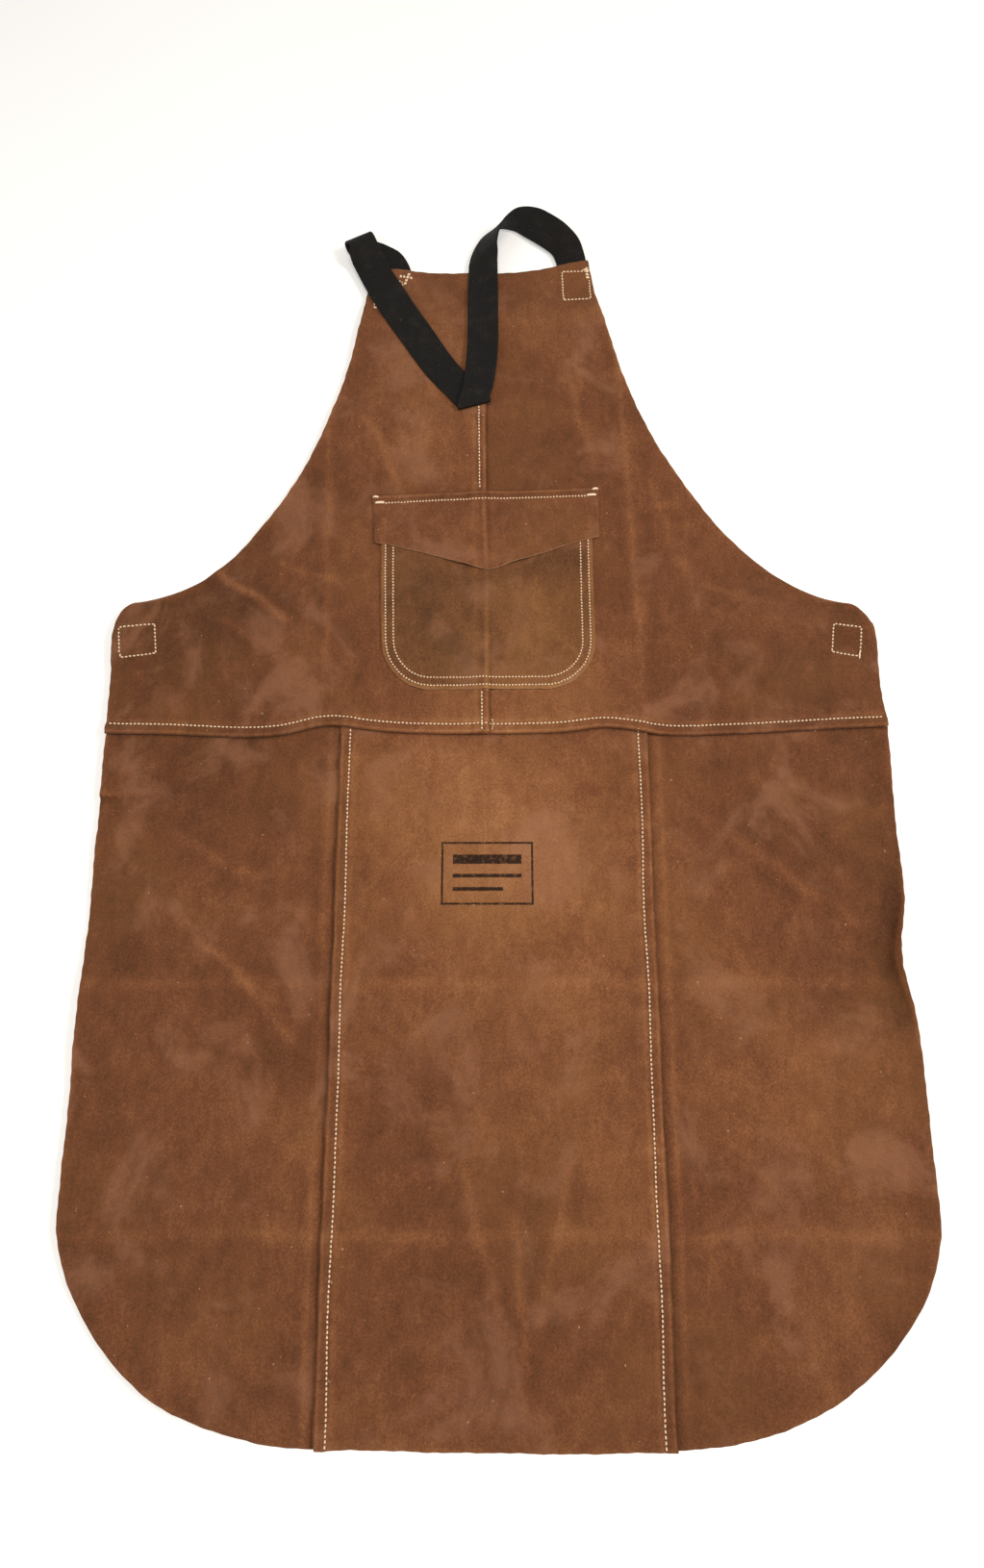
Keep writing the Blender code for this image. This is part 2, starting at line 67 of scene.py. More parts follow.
# Outlines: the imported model's own dimensions, but for a bib that ends 3 mm higher
WIDTH = 0.610
BIB_HEIGHT = 0.4292
SKIRT_BOTTOM = BIB_HEIGHT - 0.9172
LEATHER = 0.0014
LAP = 0.012
GAP = 0.0004
SKIRT_SEAMS = (-0.1205, 0.1165)
SKIRT_CORNER = (0.190, 0.150)
HIP_SIDE = 0.077
HIP_CORNER = (0.018, 0.032)
ARMHOLE = ((0.287, 0.109), (0.208, 0.120), (0.124, 0.233), (0.097, BIB_HEIGHT))
BIB_LEAN = -0.0145
BIB_SEAM = (-0.0065, -0.0115)
TOP_RISE = (0.006, 0.0135)
POCKET_X = -0.0082
POCKET_HALF = 0.0865
POCKET_BOTTOM = 0.036
POCKET_MOUTH = 0.185
POCKET_RADIUS = 0.040
FLAP_TILT = math.radians(1.9)
FLAP_HINGE = (-0.0090, 0.2018)
FLAP_HALF = (0.0935, 0.0905)
FLAP_SIDE = 0.0355
FLAP_TIP = 0.066
FLAP_BAND = 0.0065
WEB = 0.0014
WEB_HALF = 0.0127
NECK_HINGE_Y = 0.436
NECK_CUT_Z = (0.0052, 0.0062)
BAR_X = 0.2195
BAR_Z = 0.0036
STRAP_EDGE = 0.3007 - GAP
STRAP_TAILS = {-1: 0.246, 1: 0.262}
WORD = {-1: "left", 1: "right"}
FLOOR_Z = cad_box[0][2] - 0.0003

# Meshes and edges
MESH_STEP = 0.0032
SEAM_STEP = 0.0010
ROW_STEP = 0.0016
HEM_EXTRA = 0.0012
HEM_WIDTH = 0.0085
RAW, FOLDED = 0.35, 1.0
CUT_END, OPEN_END = 0.3, None

# Stitches
STITCH_PITCH = 0.0031
FINE_PITCH = 0.0026
STITCH_RADIUS = 0.00064
STITCH_SIDES = 7
STITCH_GAPS = (0.00030, 0.00065)
STITCH_PROFILE = ((0.0, 0.35, -0.00030), (0.10, 0.75, 0.00002), (0.28, 0.97, 0.00020), (0.5, 1.0, 0.00026),
                  (0.72, 0.97, 0.00020), (0.90, 0.75, 0.00002), (1.0, 0.35, -0.00030))
LONGEST_TACK = 0.012
TACK_LIFT = 0.0013

# Folds across the skirt as (y, height of the fold), and the printed mark
FOLD_LINES = ((-0.359, 0.0020), (-0.190, 0.0018))
MARK_PLACE = (-0.0075, -0.1096)
MARK_SIZE = (0.068, 0.046)
MARK_LINE = 0.0016
LEATHERS = ("skirt_left_leather", "skirt_right_leather", "skirt_centre_leather", "bib_right_leather",
            "bib_left_leather", "pocket_leather", "pocket_flap_leather")

# Camera, matched to the photo, and lights as (name, place, target, size, energy, colour)
FOCAL_LENGTH = 18.77
CAMERA_PLACE = (-0.002, -0.176, 0.621)
CAMERA_TURN = (12.36, 0.18, -0.04)
LIGHTS = (("key", (1.35, 0.05, 1.45), (0.0, 0.0, 0.0), 0.50, 16.2, (1.0, 0.95, 0.88)),
          ("warm_overhead", (0.02, -0.02, 1.25), (0.01, -0.06, 0.0), 0.60, 6, (1.0, 0.90, 0.76)),
          ("fill", (-1.5, -0.7, 1.3), (0.0, 0.0, 0.0), 1.6, 7, (0.96, 0.98, 1.0)))
AIR_COLOUR, AIR_STRENGTH = (1.0, 0.99, 0.97, 1), 0.40


# ---- Small numeric helpers

def smooth(value):
    value = np.clip(value, 0.0, 1.0)
    return value * value * (3 - 2 * value)


def bump(distance, width):
    return np.exp(-(distance / width) ** 2)


def waves(position, lengths, seed):
    """A smooth random line: a sum of sines of the given wavelengths, about 1 high."""
    source = np.random.default_rng(seed)
    total = 0.0
    for length in lengths:
        total = total + np.sin(2 * math.pi * (position / length + source.random())) * source.uniform(0.6, 1.0)
    return total / math.sqrt(len(lengths))


def lengths_along(points):
    """The length of a line up to each of its points."""
    return np.concatenate([[0], np.cumsum(np.linalg.norm(np.diff(points, axis=0), axis=1))])


def resample(points, count_for):
    """Evenly spaced points along a line in plan, as many as count_for says for its length."""
    points = np.array(points, float)
    along = lengths_along(points)
    at = np.linspace(0, along[-1], count_for(along[-1]))
    return np.stack([np.interp(at, along, points[:, k]) for k in (0, 1)], 1)


def polyline(points, step=0.001):
    """A straight-sided route with a point about every step."""
    return resample(points, lambda length: max(2, math.ceil(length / step)))


def box_blur(field, cells, axis):
    pad = [(0, 0), (0, 0)]
    pad[axis] = (cells + 1, cells)
    total = np.cumsum(np.pad(field, pad, mode="edge"), axis=axis)
    high = np.take(total, np.arange(2 * cells + 1, total.shape[axis]), axis=axis)
    low = np.take(total, np.arange(0, total.shape[axis] - 2 * cells - 1), axis=axis)
    return (high - low) / (2 * cells + 1)


def blur(field, width):
    """Nearly Gaussian blur of a raster; width is its standard deviation."""
    cells = max(1, round(width / CELL))
    for _ in range(3):
        field = box_blur(box_blur(field, cells, 0), cells, 1)
    return field


# ---- Raster of heights

CELL = 0.001
RASTER_X = np.arange(-0.330, 0.3301, CELL)
RASTER_Y = np.arange(-0.500, 0.5301, CELL)
PX, PY = np.meshgrid(RASTER_X, RASTER_Y)


def spot(x, width, y, height):
    """A soft patch on the raster, 1 at its middle."""
    return bump(PX - x, width) * bump(PY - y, height)


def sample(field, x, y):
    """The raster's value at points, between its cells."""
    u = np.clip((x - RASTER_X[0]) / CELL, 0, len(RASTER_X) - 1.001)
    v = np.clip((y - RASTER_Y[0]) / CELL, 0, len(RASTER_Y) - 1.001)
    i, j = u.astype(int), v.astype(int)
    s, t = u - i, v - j
    near = field[j, i] * (1 - s) + field[j, i + 1] * s
    far = field[j + 1, i] * (1 - s) + field[j + 1, i + 1] * s
    return near * (1 - t) + far * t


def envelope(field, slope, reach):
    """The lowest surface above a raster that is nowhere steeper than slope."""
    drop = slope * CELL
    for _ in range(int(reach / CELL)):
        for axis in (0, 1):
            for way in (1, -1):
                field = np.maximum(field, np.roll(field, way, axis) - drop)
    return field


def settle(ground, slope=0.28, softness=0.004, reach=0.030):
    """Underside of a stiff sheet that is laid over a raster."""
    support = np.where(ground > 0.0, ground + GAP, 0.0)
    height = envelope(support, slope, reach)
    for _ in range(3):
        height = np.maximum(blur(height, softness), support)
    return height


# ---- Outlines

def bezier(points, t):
    weights = ((1 - t) ** 3, 3 * t * (1 - t) ** 2, 3 * t * t * (1 - t), t ** 3)
    return [sum(weight * point[axis] for weight, point in zip(weights, points)) for axis in (0, 1)]


def bib_outline(count):
    """The bib's side as (half width, height), evenly spaced, from the waist to the top edge."""
    turn = np.linspace(0, math.pi / 2, 20)
    arm = bezier(ARMHOLE, np.linspace(0, 1, 120))
    half = np.concatenate([[WIDTH / 2], ARMHOLE[0][0] + HIP_CORNER[0] * np.cos(turn), arm[0][1:]])
    high = np.concatenate([[0.0], HIP_SIDE + HIP_CORNER[1] * np.sin(turn), arm[1][1:]])
    return resample(np.stack([half, high], 1), lambda _: count).T


OUTLINE_HALF, OUTLINE_Y = bib_outline(400)


def bib_half(y):
    return np.interp(y, OUTLINE_Y, OUTLINE_HALF)


def lean(y):
    return BIB_LEAN * y / BIB_HEIGHT


def bib_seam(y):
    return BIB_SEAM[0] + (BIB_SEAM[1] - BIB_SEAM[0]) * y / BIB_HEIGHT


def top_rise(x, y):
    across = (x - lean(y)) / bib_half(y)
    rise = np.where(across > 0, TOP_RISE[1], TOP_RISE[0])
    return rise * np.clip(across, -1, 1) ** 2 * np.clip(y / BIB_HEIGHT, 0, 1) ** 8


def waist_wave(x):
    """The waist seam's rise: it crests by the skirt seams, dips beside them and climbs at the right."""
    crests = 0.0055 * bump(x + 0.136, 0.024) + 0.0024 * bump(x + 0.108, 0.030)
    crests = crests + 0.0050 * bump(x - 0.088, 0.028)
    dips = 0.0022 * bump(x + 0.195, 0.045) + 0.0016 * bump(x - 0.140, 0.040)
    return crests - dips + 0.0050 * smooth((x - 0.190) / 0.125)


def skirt_bottom(x):
    out = np.clip(np.abs(x) - (WIDTH / 2 - SKIRT_CORNER[0]), 0, None) / SKIRT_CORNER[0]
    return SKIRT_BOTTOM + SKIRT_CORNER[1] * (1 - np.sqrt(np.clip(1 - out * out, 0, None)))


def pocket_taper(x, y):
    """The pocket's left side leans in towards the bottom; x is from the pocket's middle."""
    down = (POCKET_MOUTH - y) / (POCKET_MOUTH - POCKET_BOTTOM)
    return x + 0.0042 * np.clip(-x / POCKET_HALF, 0, 1) * down


def pocket_bottom(x):
    out = np.clip(np.abs(x) - (POCKET_HALF - POCKET_RADIUS), 0, POCKET_RADIUS)
    return POCKET_BOTTOM + POCKET_RADIUS - np.sqrt(POCKET_RADIUS ** 2 - out * out)


def flap_place(u, v):
    """Points u across and v down from the middle of the flap's hinge line."""
    x = FLAP_HINGE[0] + u * math.cos(FLAP_TILT) + v * math.sin(FLAP_TILT)
    y = FLAP_HINGE[1] + u * math.sin(FLAP_TILT) - v * math.cos(FLAP_TILT)
    return x, y


def flap_local(x, y):
    dx, dy = x - FLAP_HINGE[0], y - FLAP_HINGE[1]
    return (dx * math.cos(FLAP_TILT) + dy * math.sin(FLAP_TILT),
            dx * math.sin(FLAP_TILT) - dy * math.cos(FLAP_TILT))


def flap_depth(u):
    """Length of the free flap at a distance across: a blunt V."""
    return FLAP_SIDE + (FLAP_TIP - FLAP_SIDE) * (1 - np.sqrt((u / FLAP_HALF[1]) ** 2 + 0.0025) + 0.05)


# ---- Relief shared by every layer

def crease(x0, y0, x1, y1, height, width, seed):
    """A fold line from one point to another that fades at its ends."""
    dx, dy = x1 - x0, y1 - y0
    length = math.hypot(dx, dy)
    along = ((PX - x0) * dx + (PY - y0) * dy) / length
    away = ((PX - x0) * dy - (PY - y0) * dx) / length
    away = away + 0.002 * waves(along, (0.05, 0.083), seed)
    fade = smooth(along / (0.25 * length)) * smooth((length - along) / (0.25 * length))
    ridge = np.exp(-np.sqrt((away / width) ** 2 + 0.08))
    return height * fade * ridge


def seam_field(distance, along, seed, width=0.010, height=0.00011):
    """Puckers beside a row of stitches, and the groove that the thread pulls."""
    pucker = waves(along, (0.0085, 0.0117, 0.0173, 0.0291), seed) * bump(distance, width)
    return height * pucker - 0.00030 * bump(distance, 0.0013)


def folds_and_swells():
    """The height of the folds, creases and long soft swells, which need no seam or edge."""
    relief = np.zeros_like(PX)
    source = np.random.default_rng(7)
    for _ in range(26):
        length = source.uniform(0.09, 0.30)
        angle = source.uniform(0, math.pi)
        phase = source.uniform(0, 2 * math.pi)
        across = PX * math.cos(angle) + PY * math.sin(angle)
        relief += 0.00028 * np.sin(2 * math.pi * across / length + phase)
    for y, height in FOLD_LINES:
        away = (PY - y - 0.002 * waves(PX, (0.21, 0.13), 3)) / 0.016
        relief += height * np.exp(-np.sqrt(away ** 2 + 0.05))
    for x, height in ((-0.134, 0.0012), (0.117, 0.0014)):
        upper = smooth((PY - 0.02) / 0.05)
        relief += height * upper * np.exp(-np.sqrt(((PX - x - lean(PY)) / 0.008) ** 2 + 0.04))
    for line in CREASES:
        relief += crease(*line)
    return relief


CREASES = (
    (-0.238, 0.145, -0.156, 0.085, 0.0030, 0.0045, 11),
    (-0.190, 0.150, -0.120, 0.125, 0.0014, 0.006, 12),
    (-0.235, 0.100, -0.165, 0.060, 0.0012, 0.006, 13),
    (0.120, 0.240, 0.160, 0.120, 0.0010, 0.009, 14),
    (0.150, 0.130, 0.235, 0.098, 0.0009, 0.007, 15),
    (-0.030, -0.300, 0.010, -0.440, 0.0015, 0.007, 16),
    (0.055, -0.290, 0.022, -0.440, 0.0013, 0.007, 17),
    (0.012, -0.330, 0.018, -0.460, 0.0016, 0.007, 18),
    (-0.230, -0.150, -0.150, -0.215, 0.0016, 0.007, 19),
    (-0.200, -0.175, -0.135, -0.245, 0.0016, 0.007, 20),
    (0.150, -0.060, 0.290, -0.165, 0.0020, 0.009, 21),
    (-0.262, -0.070, -0.170, -0.120, 0.0016, 0.008, 22),
    (0.060, 0.330, 0.085, 0.220, 0.0014, 0.007, 23),
    (-0.120, 0.300, -0.075, 0.200, 0.0014, 0.007, 24),
    (0.170, -0.300, 0.260, -0.420, 0.0010, 0.012, 25),
    (-0.250, -0.330, -0.150, -0.400, 0.0009, 0.012, 26),
)


def pulled_in(y):
    """How far the curl draws the skirt's right edge in."""
    return 0.0140 * bump(y + 0.173, 0.036)


def edge_distance():
    """Distance inward from the leather's outer edge, roughly."""
    bib = np.minimum(bib_half(PY) - np.abs(PX - lean(PY)), BIB_HEIGHT + top_rise(PX, PY) - PY)
    out = np.clip(np.abs(PX) - (WIDTH / 2 - SKIRT_CORNER[0]), 0, None) / SKIRT_CORNER[0]
    up = np.clip(SKIRT_BOTTOM + SKIRT_CORNER[1] - PY, 0, None) / SKIRT_CORNER[1]
    round_part = (1 - np.hypot(out, up)) * (SKIRT_CORNER[0] + SKIRT_CORNER[1]) / 2
    beside = WIDTH / 2 - np.abs(PX) - pulled_in(PY) * (PX > 0)
    skirt = np.where(up > 0, np.where(out > 0, round_part, PY - SKIRT_BOTTOM), beside)
    return np.where(PY > 0, bib, skirt)


def make_relief():
    """The relief that every layer shares: folds, puckers at the seams, and edges that lift and curl."""
    relief = folds_and_swells()
    bare = 1 - 0.85 * smooth((PY - 0.028) / 0.012) * smooth((0.216 - PY) / 0.012)
    relief += seam_field(PX - bib_seam(PY) + 0.005, PY, 31) * (PY > 0.0) * bare
    relief += seam_field(PY - 0.007 - waist_wave(PX), PX, 32)
    left, right = SKIRT_SEAMS
    below = smooth((0.004 - PY) / 0.008)
    relief += seam_field(PX - left - 0.0065, PY, 33) * below
    relief += seam_field(PX - right + 0.0065, PY, 34) * below
    relief += 0.00045 * bump(PX - left + 0.009, 0.0035) * below
    relief += 0.00045 * bump(PX - right - 0.009, 0.0035) * below
    inward = edge_distance()
    angle = np.arctan2(PY + 0.05, PX)
    lift = 0.5 + 0.5 * waves(angle, (0.9, 0.43, 0.31), 41)
    relief += 0.0028 * np.clip(lift, 0, 1.4) * np.exp(-np.clip(inward, 0, None) / 0.014)
    curl = bump(PY + 0.168, 0.042) * smooth((PX - 0.20) / 0.08)
    relief += 0.0135 * curl * np.exp(-np.clip(inward, 0, None) / 0.0052)
    relief += 0.0022 * spot(0.262, 0.020, -0.13, 0.05)
    calm_top = smooth((0.420 - PY) / 0.050)
    return np.maximum(relief - relief[inward > 0.001].min(), 0) * calm_top


# ---- Stack of layers on the raster

def strap_heights():
    """The floor with the waist straps, the buckle and the sewn neck strap ends on it, under the leather."""
    ax, off_strap = np.abs(PX), np.abs(PY - HIP_SIDE)
    ground = np.zeros_like(PX)
    tail = np.where(PX > 0, STRAP_TAILS[1], STRAP_TAILS[-1])
    single, doubled = (0.232, 0.3015, WEB_HALF, WEB), (0.216, tail, WEB_HALF, 0.0034)
    tab, buckle = (0.266, 0.3015, WEB_HALF, 0.0036), (0.165, 0.2215, 0.019, 0.0080)
    for inner, outer, half, height in (single, doubled, tab, buckle):
        ground[(off_strap < half) & (ax > inner) & (ax < outer)] = height
    for low_x, high_x, high_y in ((-0.106, -0.078, 0.436), (0.056, 0.084, 0.442)):
        ground[(PX > low_x) & (PX < high_x) & (PY > 0.388) & (PY < high_y)] = WEB
    return ground


def hem(distance):
    """1 where a folded hem doubles the leather, by the distance inward from its edge."""
    return smooth((HEM_WIDTH - distance) / 0.003)


class Pile:
    """Leather layers on the raster: each one's underside and thickness, and the top of the pile so far."""

    def __init__(self, ground):
        self.top = ground
        self.layers = {}

    def lay(self, name, under, thick, where):
        self.layers[name] = (under, thick)
        self.top = np.where(where, under + thick, self.top)


def lay_skirt(pile):
    left, right = SKIRT_SEAMS
    skirt = (PY > skirt_bottom(PX)) & (PY < LAP) & (np.abs(PX) < WIDTH / 2)
    pile.lay("skirt_side", np.zeros_like(PX), np.full_like(PX, LEATHER),
             skirt & ((PX < left + LAP) | (PX > right - LAP)))
    under = settle(pile.top * (PY < LAP + 0.02) * (np.abs(PX) < 0.2))
    thick = LEATHER + HEM_EXTRA * hem(np.minimum(PX - left, right - PX))
    pile.lay("skirt_centre", under, thick, skirt & (PX > left) & (PX < right))


def lay_bib(pile):
    below_top = PY < BIB_HEIGHT + top_rise(PX, PY)
    bib = (PY > waist_wave(PX)) & below_top & (np.abs(PX - lean(PY)) < bib_half(PY))
    low_hem = hem(PY - waist_wave(PX))
    pile.lay("bib_right", settle(pile.top, 0.26, 0.0042, 0.045), LEATHER + HEM_EXTRA * low_hem,
             bib & (PX > bib_seam(PY) - LAP))
    thick = LEATHER + HEM_EXTRA * np.maximum(low_hem, hem(bib_seam(PY) - PX) * (PY > 0))
    pile.lay("bib_left", settle(pile.top, 0.26, 0.0042, 0.045), thick, bib & (PX < bib_seam(PY)))


def lay_pocket(pile):
    low = pocket_bottom(PX - POCKET_X)
    up = np.clip((PY - low) / (POCKET_MOUTH - low), 0, 1)
    across = (PX - POCKET_X) / POCKET_HALF
    pocket = (np.abs(across) < 1) & (PY > low) & (PY < POCKET_MOUTH)
    swell = np.clip(1 - across ** 4, 0, 1) * (1 - (1 - up) ** 3)
    ridge = 0.0007 * bump(PX - bib_seam(PY), 0.0035) * swell
    uneven = 1 + 0.22 * waves(PX * 0.8 + PY, (0.045, 0.07), 51) + 0.15 * waves(PY, (0.05, 0.083), 52)
    under = np.maximum(settle(pile.top), 0.0022 + 0.0036 * swell * uneven) + ridge
    thick = LEATHER + 0.0003 * smooth((0.004 - (1 - np.abs(across)) * POCKET_HALF) / 0.002)
    pile.lay("pocket", under, thick, pocket)


def lay_flap(pile):
    u, v = flap_local(PX, PY)
    depth = flap_depth(u)
    flap = (np.abs(u) < FLAP_HALF[0] - 0.003 * np.clip(v / 0.05, 0, 1)) & (v > -FLAP_BAND) & (v < depth)
    free = smooth((v - 0.012) / 0.02)
    lifted = 0.0020 * bump(u + 0.020, 0.012) + 0.0024 * bump(u - 0.024, 0.012)
    near_edge = smooth((v - depth + 0.026) / 0.026)
    thick = LEATHER + 0.0006 * smooth((0.0015 - v) / 0.003)
    pile.lay("flap", settle(pile.top, 0.30, 0.004, 0.03) + lifted * near_edge * free, thick, flap)


def stack():
    """The layers' undersides and thicknesses, and the tops that threads and webbing lie on."""
    pile = Pile(strap_heights())
    lay_skirt(pile)
    lay_bib(pile)
    pile.layers["on_bib"] = pile.top
    lay_pocket(pile)
    pile.layers["on_pocket"] = pile.top
    lay_flap(pile)
    pile.layers["on_all"] = pile.top
    return pile.layers


RELIEF = make_relief()
LAYERS = stack()


def height_on(layer, x, y):
    return sample(LAYERS[layer], x, y) + sample(RELIEF, x, y)


# ---- Meshes

def build_mesh(name, points, faces):
    mesh = bpy.data.meshes.new(name)
    mesh.vertices.add(len(points))
    mesh.vertices.foreach_set("co", np.asarray(points, np.float32).ravel())
    faces = np.asarray(faces, np.int32)
    mesh.loops.add(faces.size)
    mesh.loops.foreach_set("vertex_index", faces.ravel())
    mesh.polygons.add(len(faces))
    mesh.polygons.foreach_set("loop_start", np.arange(0, faces.size, faces.shape[1], dtype=np.int32))
    mesh.update(calc_edges=True)
    mesh.validate()
    mesh.shade_smooth()
    return mesh


def link(name, data):
    thing = bpy.data.objects.new(name, data)
    bpy.context.scene.collection.objects.link(thing)
    return thing


def set_attribute(mesh, name, values):
    attribute = mesh.attributes.new(name, "FLOAT", "POINT")
    attribute.data.foreach_set("value", np.asarray(values, np.float32).ravel())


def around(index):
    """A grid's border points in order: its near, right, far and left sides."""
    return np.concatenate([index[0, :-1], index[:-1, -1], index[-1, :0:-1], index[:0:-1, 0]])


def side_faces(index):
    """Quads of a sheet's top, whose points follow the bottom's, and of its bottom."""
    quads = [index[:-1, :-1], index[:-1, 1:], index[1:, 1:], index[1:, :-1]]
    return [np.stack([q.ravel() for q in quads], 1) + index.size,
            np.stack([q.ravel() for q in reversed(quads)], 1)]


def outward(middle, half, thick):
    """Unit vectors out of the sheet along its rim."""
    ahead = np.roll(middle, -1, 0) - np.roll(middle, 1, 0)
    out = np.cross(ahead, half / thick)
    return out / np.linalg.norm(out, axis=1, keepdims=True)


def sharpen(mesh, outline):
    """Makes every edge sharp that joins two points of an outline."""
    pairs = np.empty(len(mesh.edges) * 2, np.int32)
    mesh.edges.foreach_get("vertices", pairs)
    mesh.edges.foreach_set("use_edge_sharp", outline[pairs.reshape(-1, 2)].all(1))


def shell(name, bottom, top, rounding, material, rings=5):
    """A sheet between two grids of points; rounding is the fullness of its (near, right, far, left) rims.

    A rim of None is a plain flat end, where the next piece of the same webbing goes on from it."""
    rows, cols = bottom.shape[:2]
    count = rows * cols
    index = np.arange(count).reshape(rows, cols)
    rim = around(index)
    lengths = (cols - 1, rows - 1, cols - 1, rows - 1)
    full = np.repeat([value or 0.0 for value in rounding], lengths)
    b, t = bottom.reshape(-1, 3)[rim], top.reshape(-1, 3)[rim]
    middle, half = (b + t) / 2, (t - b) / 2
    thick = np.linalg.norm(half, axis=1, keepdims=True)
    out = outward(middle, half, thick)
    corners = {0: ((0, -1), (cols - 1, cols)),
               2: ((cols + rows - 2, cols + rows - 3), (2 * cols + rows - 3, 2 * cols + rows - 2))}
    flat_ends = [end for end in (0, 2) if rounding[end] is None]
    for end in flat_ends:
        for corner, other in corners[end]:
            full[corner], out[corner] = full[other], out[other]
    turns = [math.pi * k / rings for k in range(1, rings)]
    points = np.concatenate([bottom.reshape(-1, 3), top.reshape(-1, 3)] + [
        middle - half * math.cos(turn) + out * thick * full[:, None] * math.sin(turn) for turn in turns])
    ring_index = [rim, *np.arange(2 * count, len(points)).reshape(rings - 1, len(rim)), rim + count]
    faces = side_faces(index) + [np.stack([low, np.roll(low, -1), np.roll(high, -1), high], 1)
                                 for low, high in zip(ring_index, ring_index[1:])]
    mesh = build_mesh(name, points, np.concatenate(faces))
    outline = np.zeros(len(points), bool)
    for end in flat_ends:
        row = index[0] if end == 0 else index[-1]
        outline[np.concatenate([row, row + count])] = True
        for corner, _ in corners[end]:
            outline[[ring[corner] for ring in ring_index]] = True
    sharpen(mesh, outline)
    cut = np.zeros(len(points))
    cut[2 * count:] = np.tile((full < 0.9).astype(float), rings - 1)
    set_attribute(mesh, "cut_edge", cut)
    mesh.materials.append(material)
    return link(name, mesh)


def leather_sheet(name, x, y, layer, rounding, material, rests_on, *nodes):
    """A panel over grid points in plan, laid at its layer's height."""
    under, thick = LAYERS[layer]
    low = sample(under, x, y) + sample(RELIEF, x, y)
    high = low + sample(thick, x, y)
    thing = shell(name, np.stack([x, y, low], 2), np.stack([x, y, high], 2), rounding, material)
    points = np.empty(len(thing.data.vertices) * 3, np.float32)
    thing.data.vertices.foreach_get("co", points)
    points = points.reshape(-1, 3)
    for field_name, field in TONES.items():
        set_attribute(thing.data, field_name, sample(field, points[:, 0], points[:, 1]))
    set_attribute(thing.data, "panel", np.full(len(points), 1.7 * LEATHERS.index(name)))
    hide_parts(*nodes)
    return thing


def fixed_sheet(*description):
    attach(leather_sheet(*description), "root")


def stations(start, end, marks, fine=SEAM_STEP, coarse=MESH_STEP, reach=0.009):
    """Grid lines from start to end, closer together near the marks."""
    line = np.linspace(start, end, 4000)
    near = np.min([np.abs(line - mark) for mark in marks], axis=0)
    step = fine + (coarse - fine) * smooth((near - reach) / 0.010)
    count = np.concatenate([[0], np.cumsum(np.abs(np.diff(line)) / step[1:])])
    total = max(2, math.ceil(count[-1]))
    return np.interp(np.linspace(0, count[-1], total + 1), count, line)


def ragged(along, seed, size=0.00032):
    """A raw cut edge's wander."""
    return size * waves(along, (0.011, 0.019, 0.037, 0.071), seed)


def skirt_side(side):
    seam = SKIRT_SEAMS[0] if side < 0 else SKIRT_SEAMS[1]
    start = seam - side * LAP
    corner_start = side * (WIDTH / 2 - SKIRT_CORNER[0])
    inner = stations(start, corner_start + side * 0.004, [seam, seam + side * 0.009])
    first = math.asin(0.004 / SKIRT_CORNER[0])
    turn = np.linspace(first, math.pi / 2, 88)[1:]
    xs = np.concatenate([inner, corner_start + side * SKIRT_CORNER[0] * np.sin(turn)])
    if side < 0:
        xs = xs[::-1]
    shares = (stations(SKIRT_BOTTOM, LAP, [0.004]) - SKIRT_BOTTOM) / (LAP - SKIRT_BOTTOM)
    low = skirt_bottom(xs) + ragged(xs, 61 + side)
    x = np.repeat(xs[None], len(shares), 0)
    y = low[None] + (LAP - low[None]) * shares[:, None]
    x = x + side * smooth((np.abs(x) - 0.27) / 0.035) * ragged(y, 63 + side)
    if side > 0:
        x = x - pulled_in(y) * smooth((x - 0.22) / 0.08)
    fixed_sheet(f"skirt_{WORD[side]}_leather", x, y, "skirt_side", (RAW, RAW, RAW, RAW), SUEDE, ["floor"],
                f"skirt_{WORD[side]}_panel")


def skirt_centre():
    left, right = SKIRT_SEAMS
    xs = stations(left, right, [left + 0.0045, right - 0.0045])
    ys = stations(SKIRT_BOTTOM, LAP, [0.004])
    x, y = np.meshgrid(xs, ys)
    y = y + ragged(x, 65) * smooth((SKIRT_BOTTOM + 0.03 - y) / 0.03)
    edge = 1 - smooth(np.minimum(x - left, right - x) / 0.02)
    x = x + edge * 0.0006 * waves(y, (0.09, 0.21, 0.037), 66)
    fixed_sheet("skirt_centre_leather", x, y, "skirt_centre", (RAW, FOLDED, RAW, FOLDED), SUEDE,
                ["skirt_left_leather", "skirt_right_leather"], "skirt_centre_panel")


def bib_grid_rows():
    """Heights of the bib's grid rows: even along its curved side and fine at the waist."""
    count = int(0.58 / (MESH_STEP * 0.9))
    rows = np.concatenate([bib_outline(count)[1], np.arange(0, 0.016, SEAM_STEP)])
    rows = np.sort(rows)
    keep = [rows[0]]
    for row in rows[1:]:
        if row - keep[-1] > 0.0005:
            keep.append(row)
    keep[-1] = BIB_HEIGHT
    return np.array(keep)


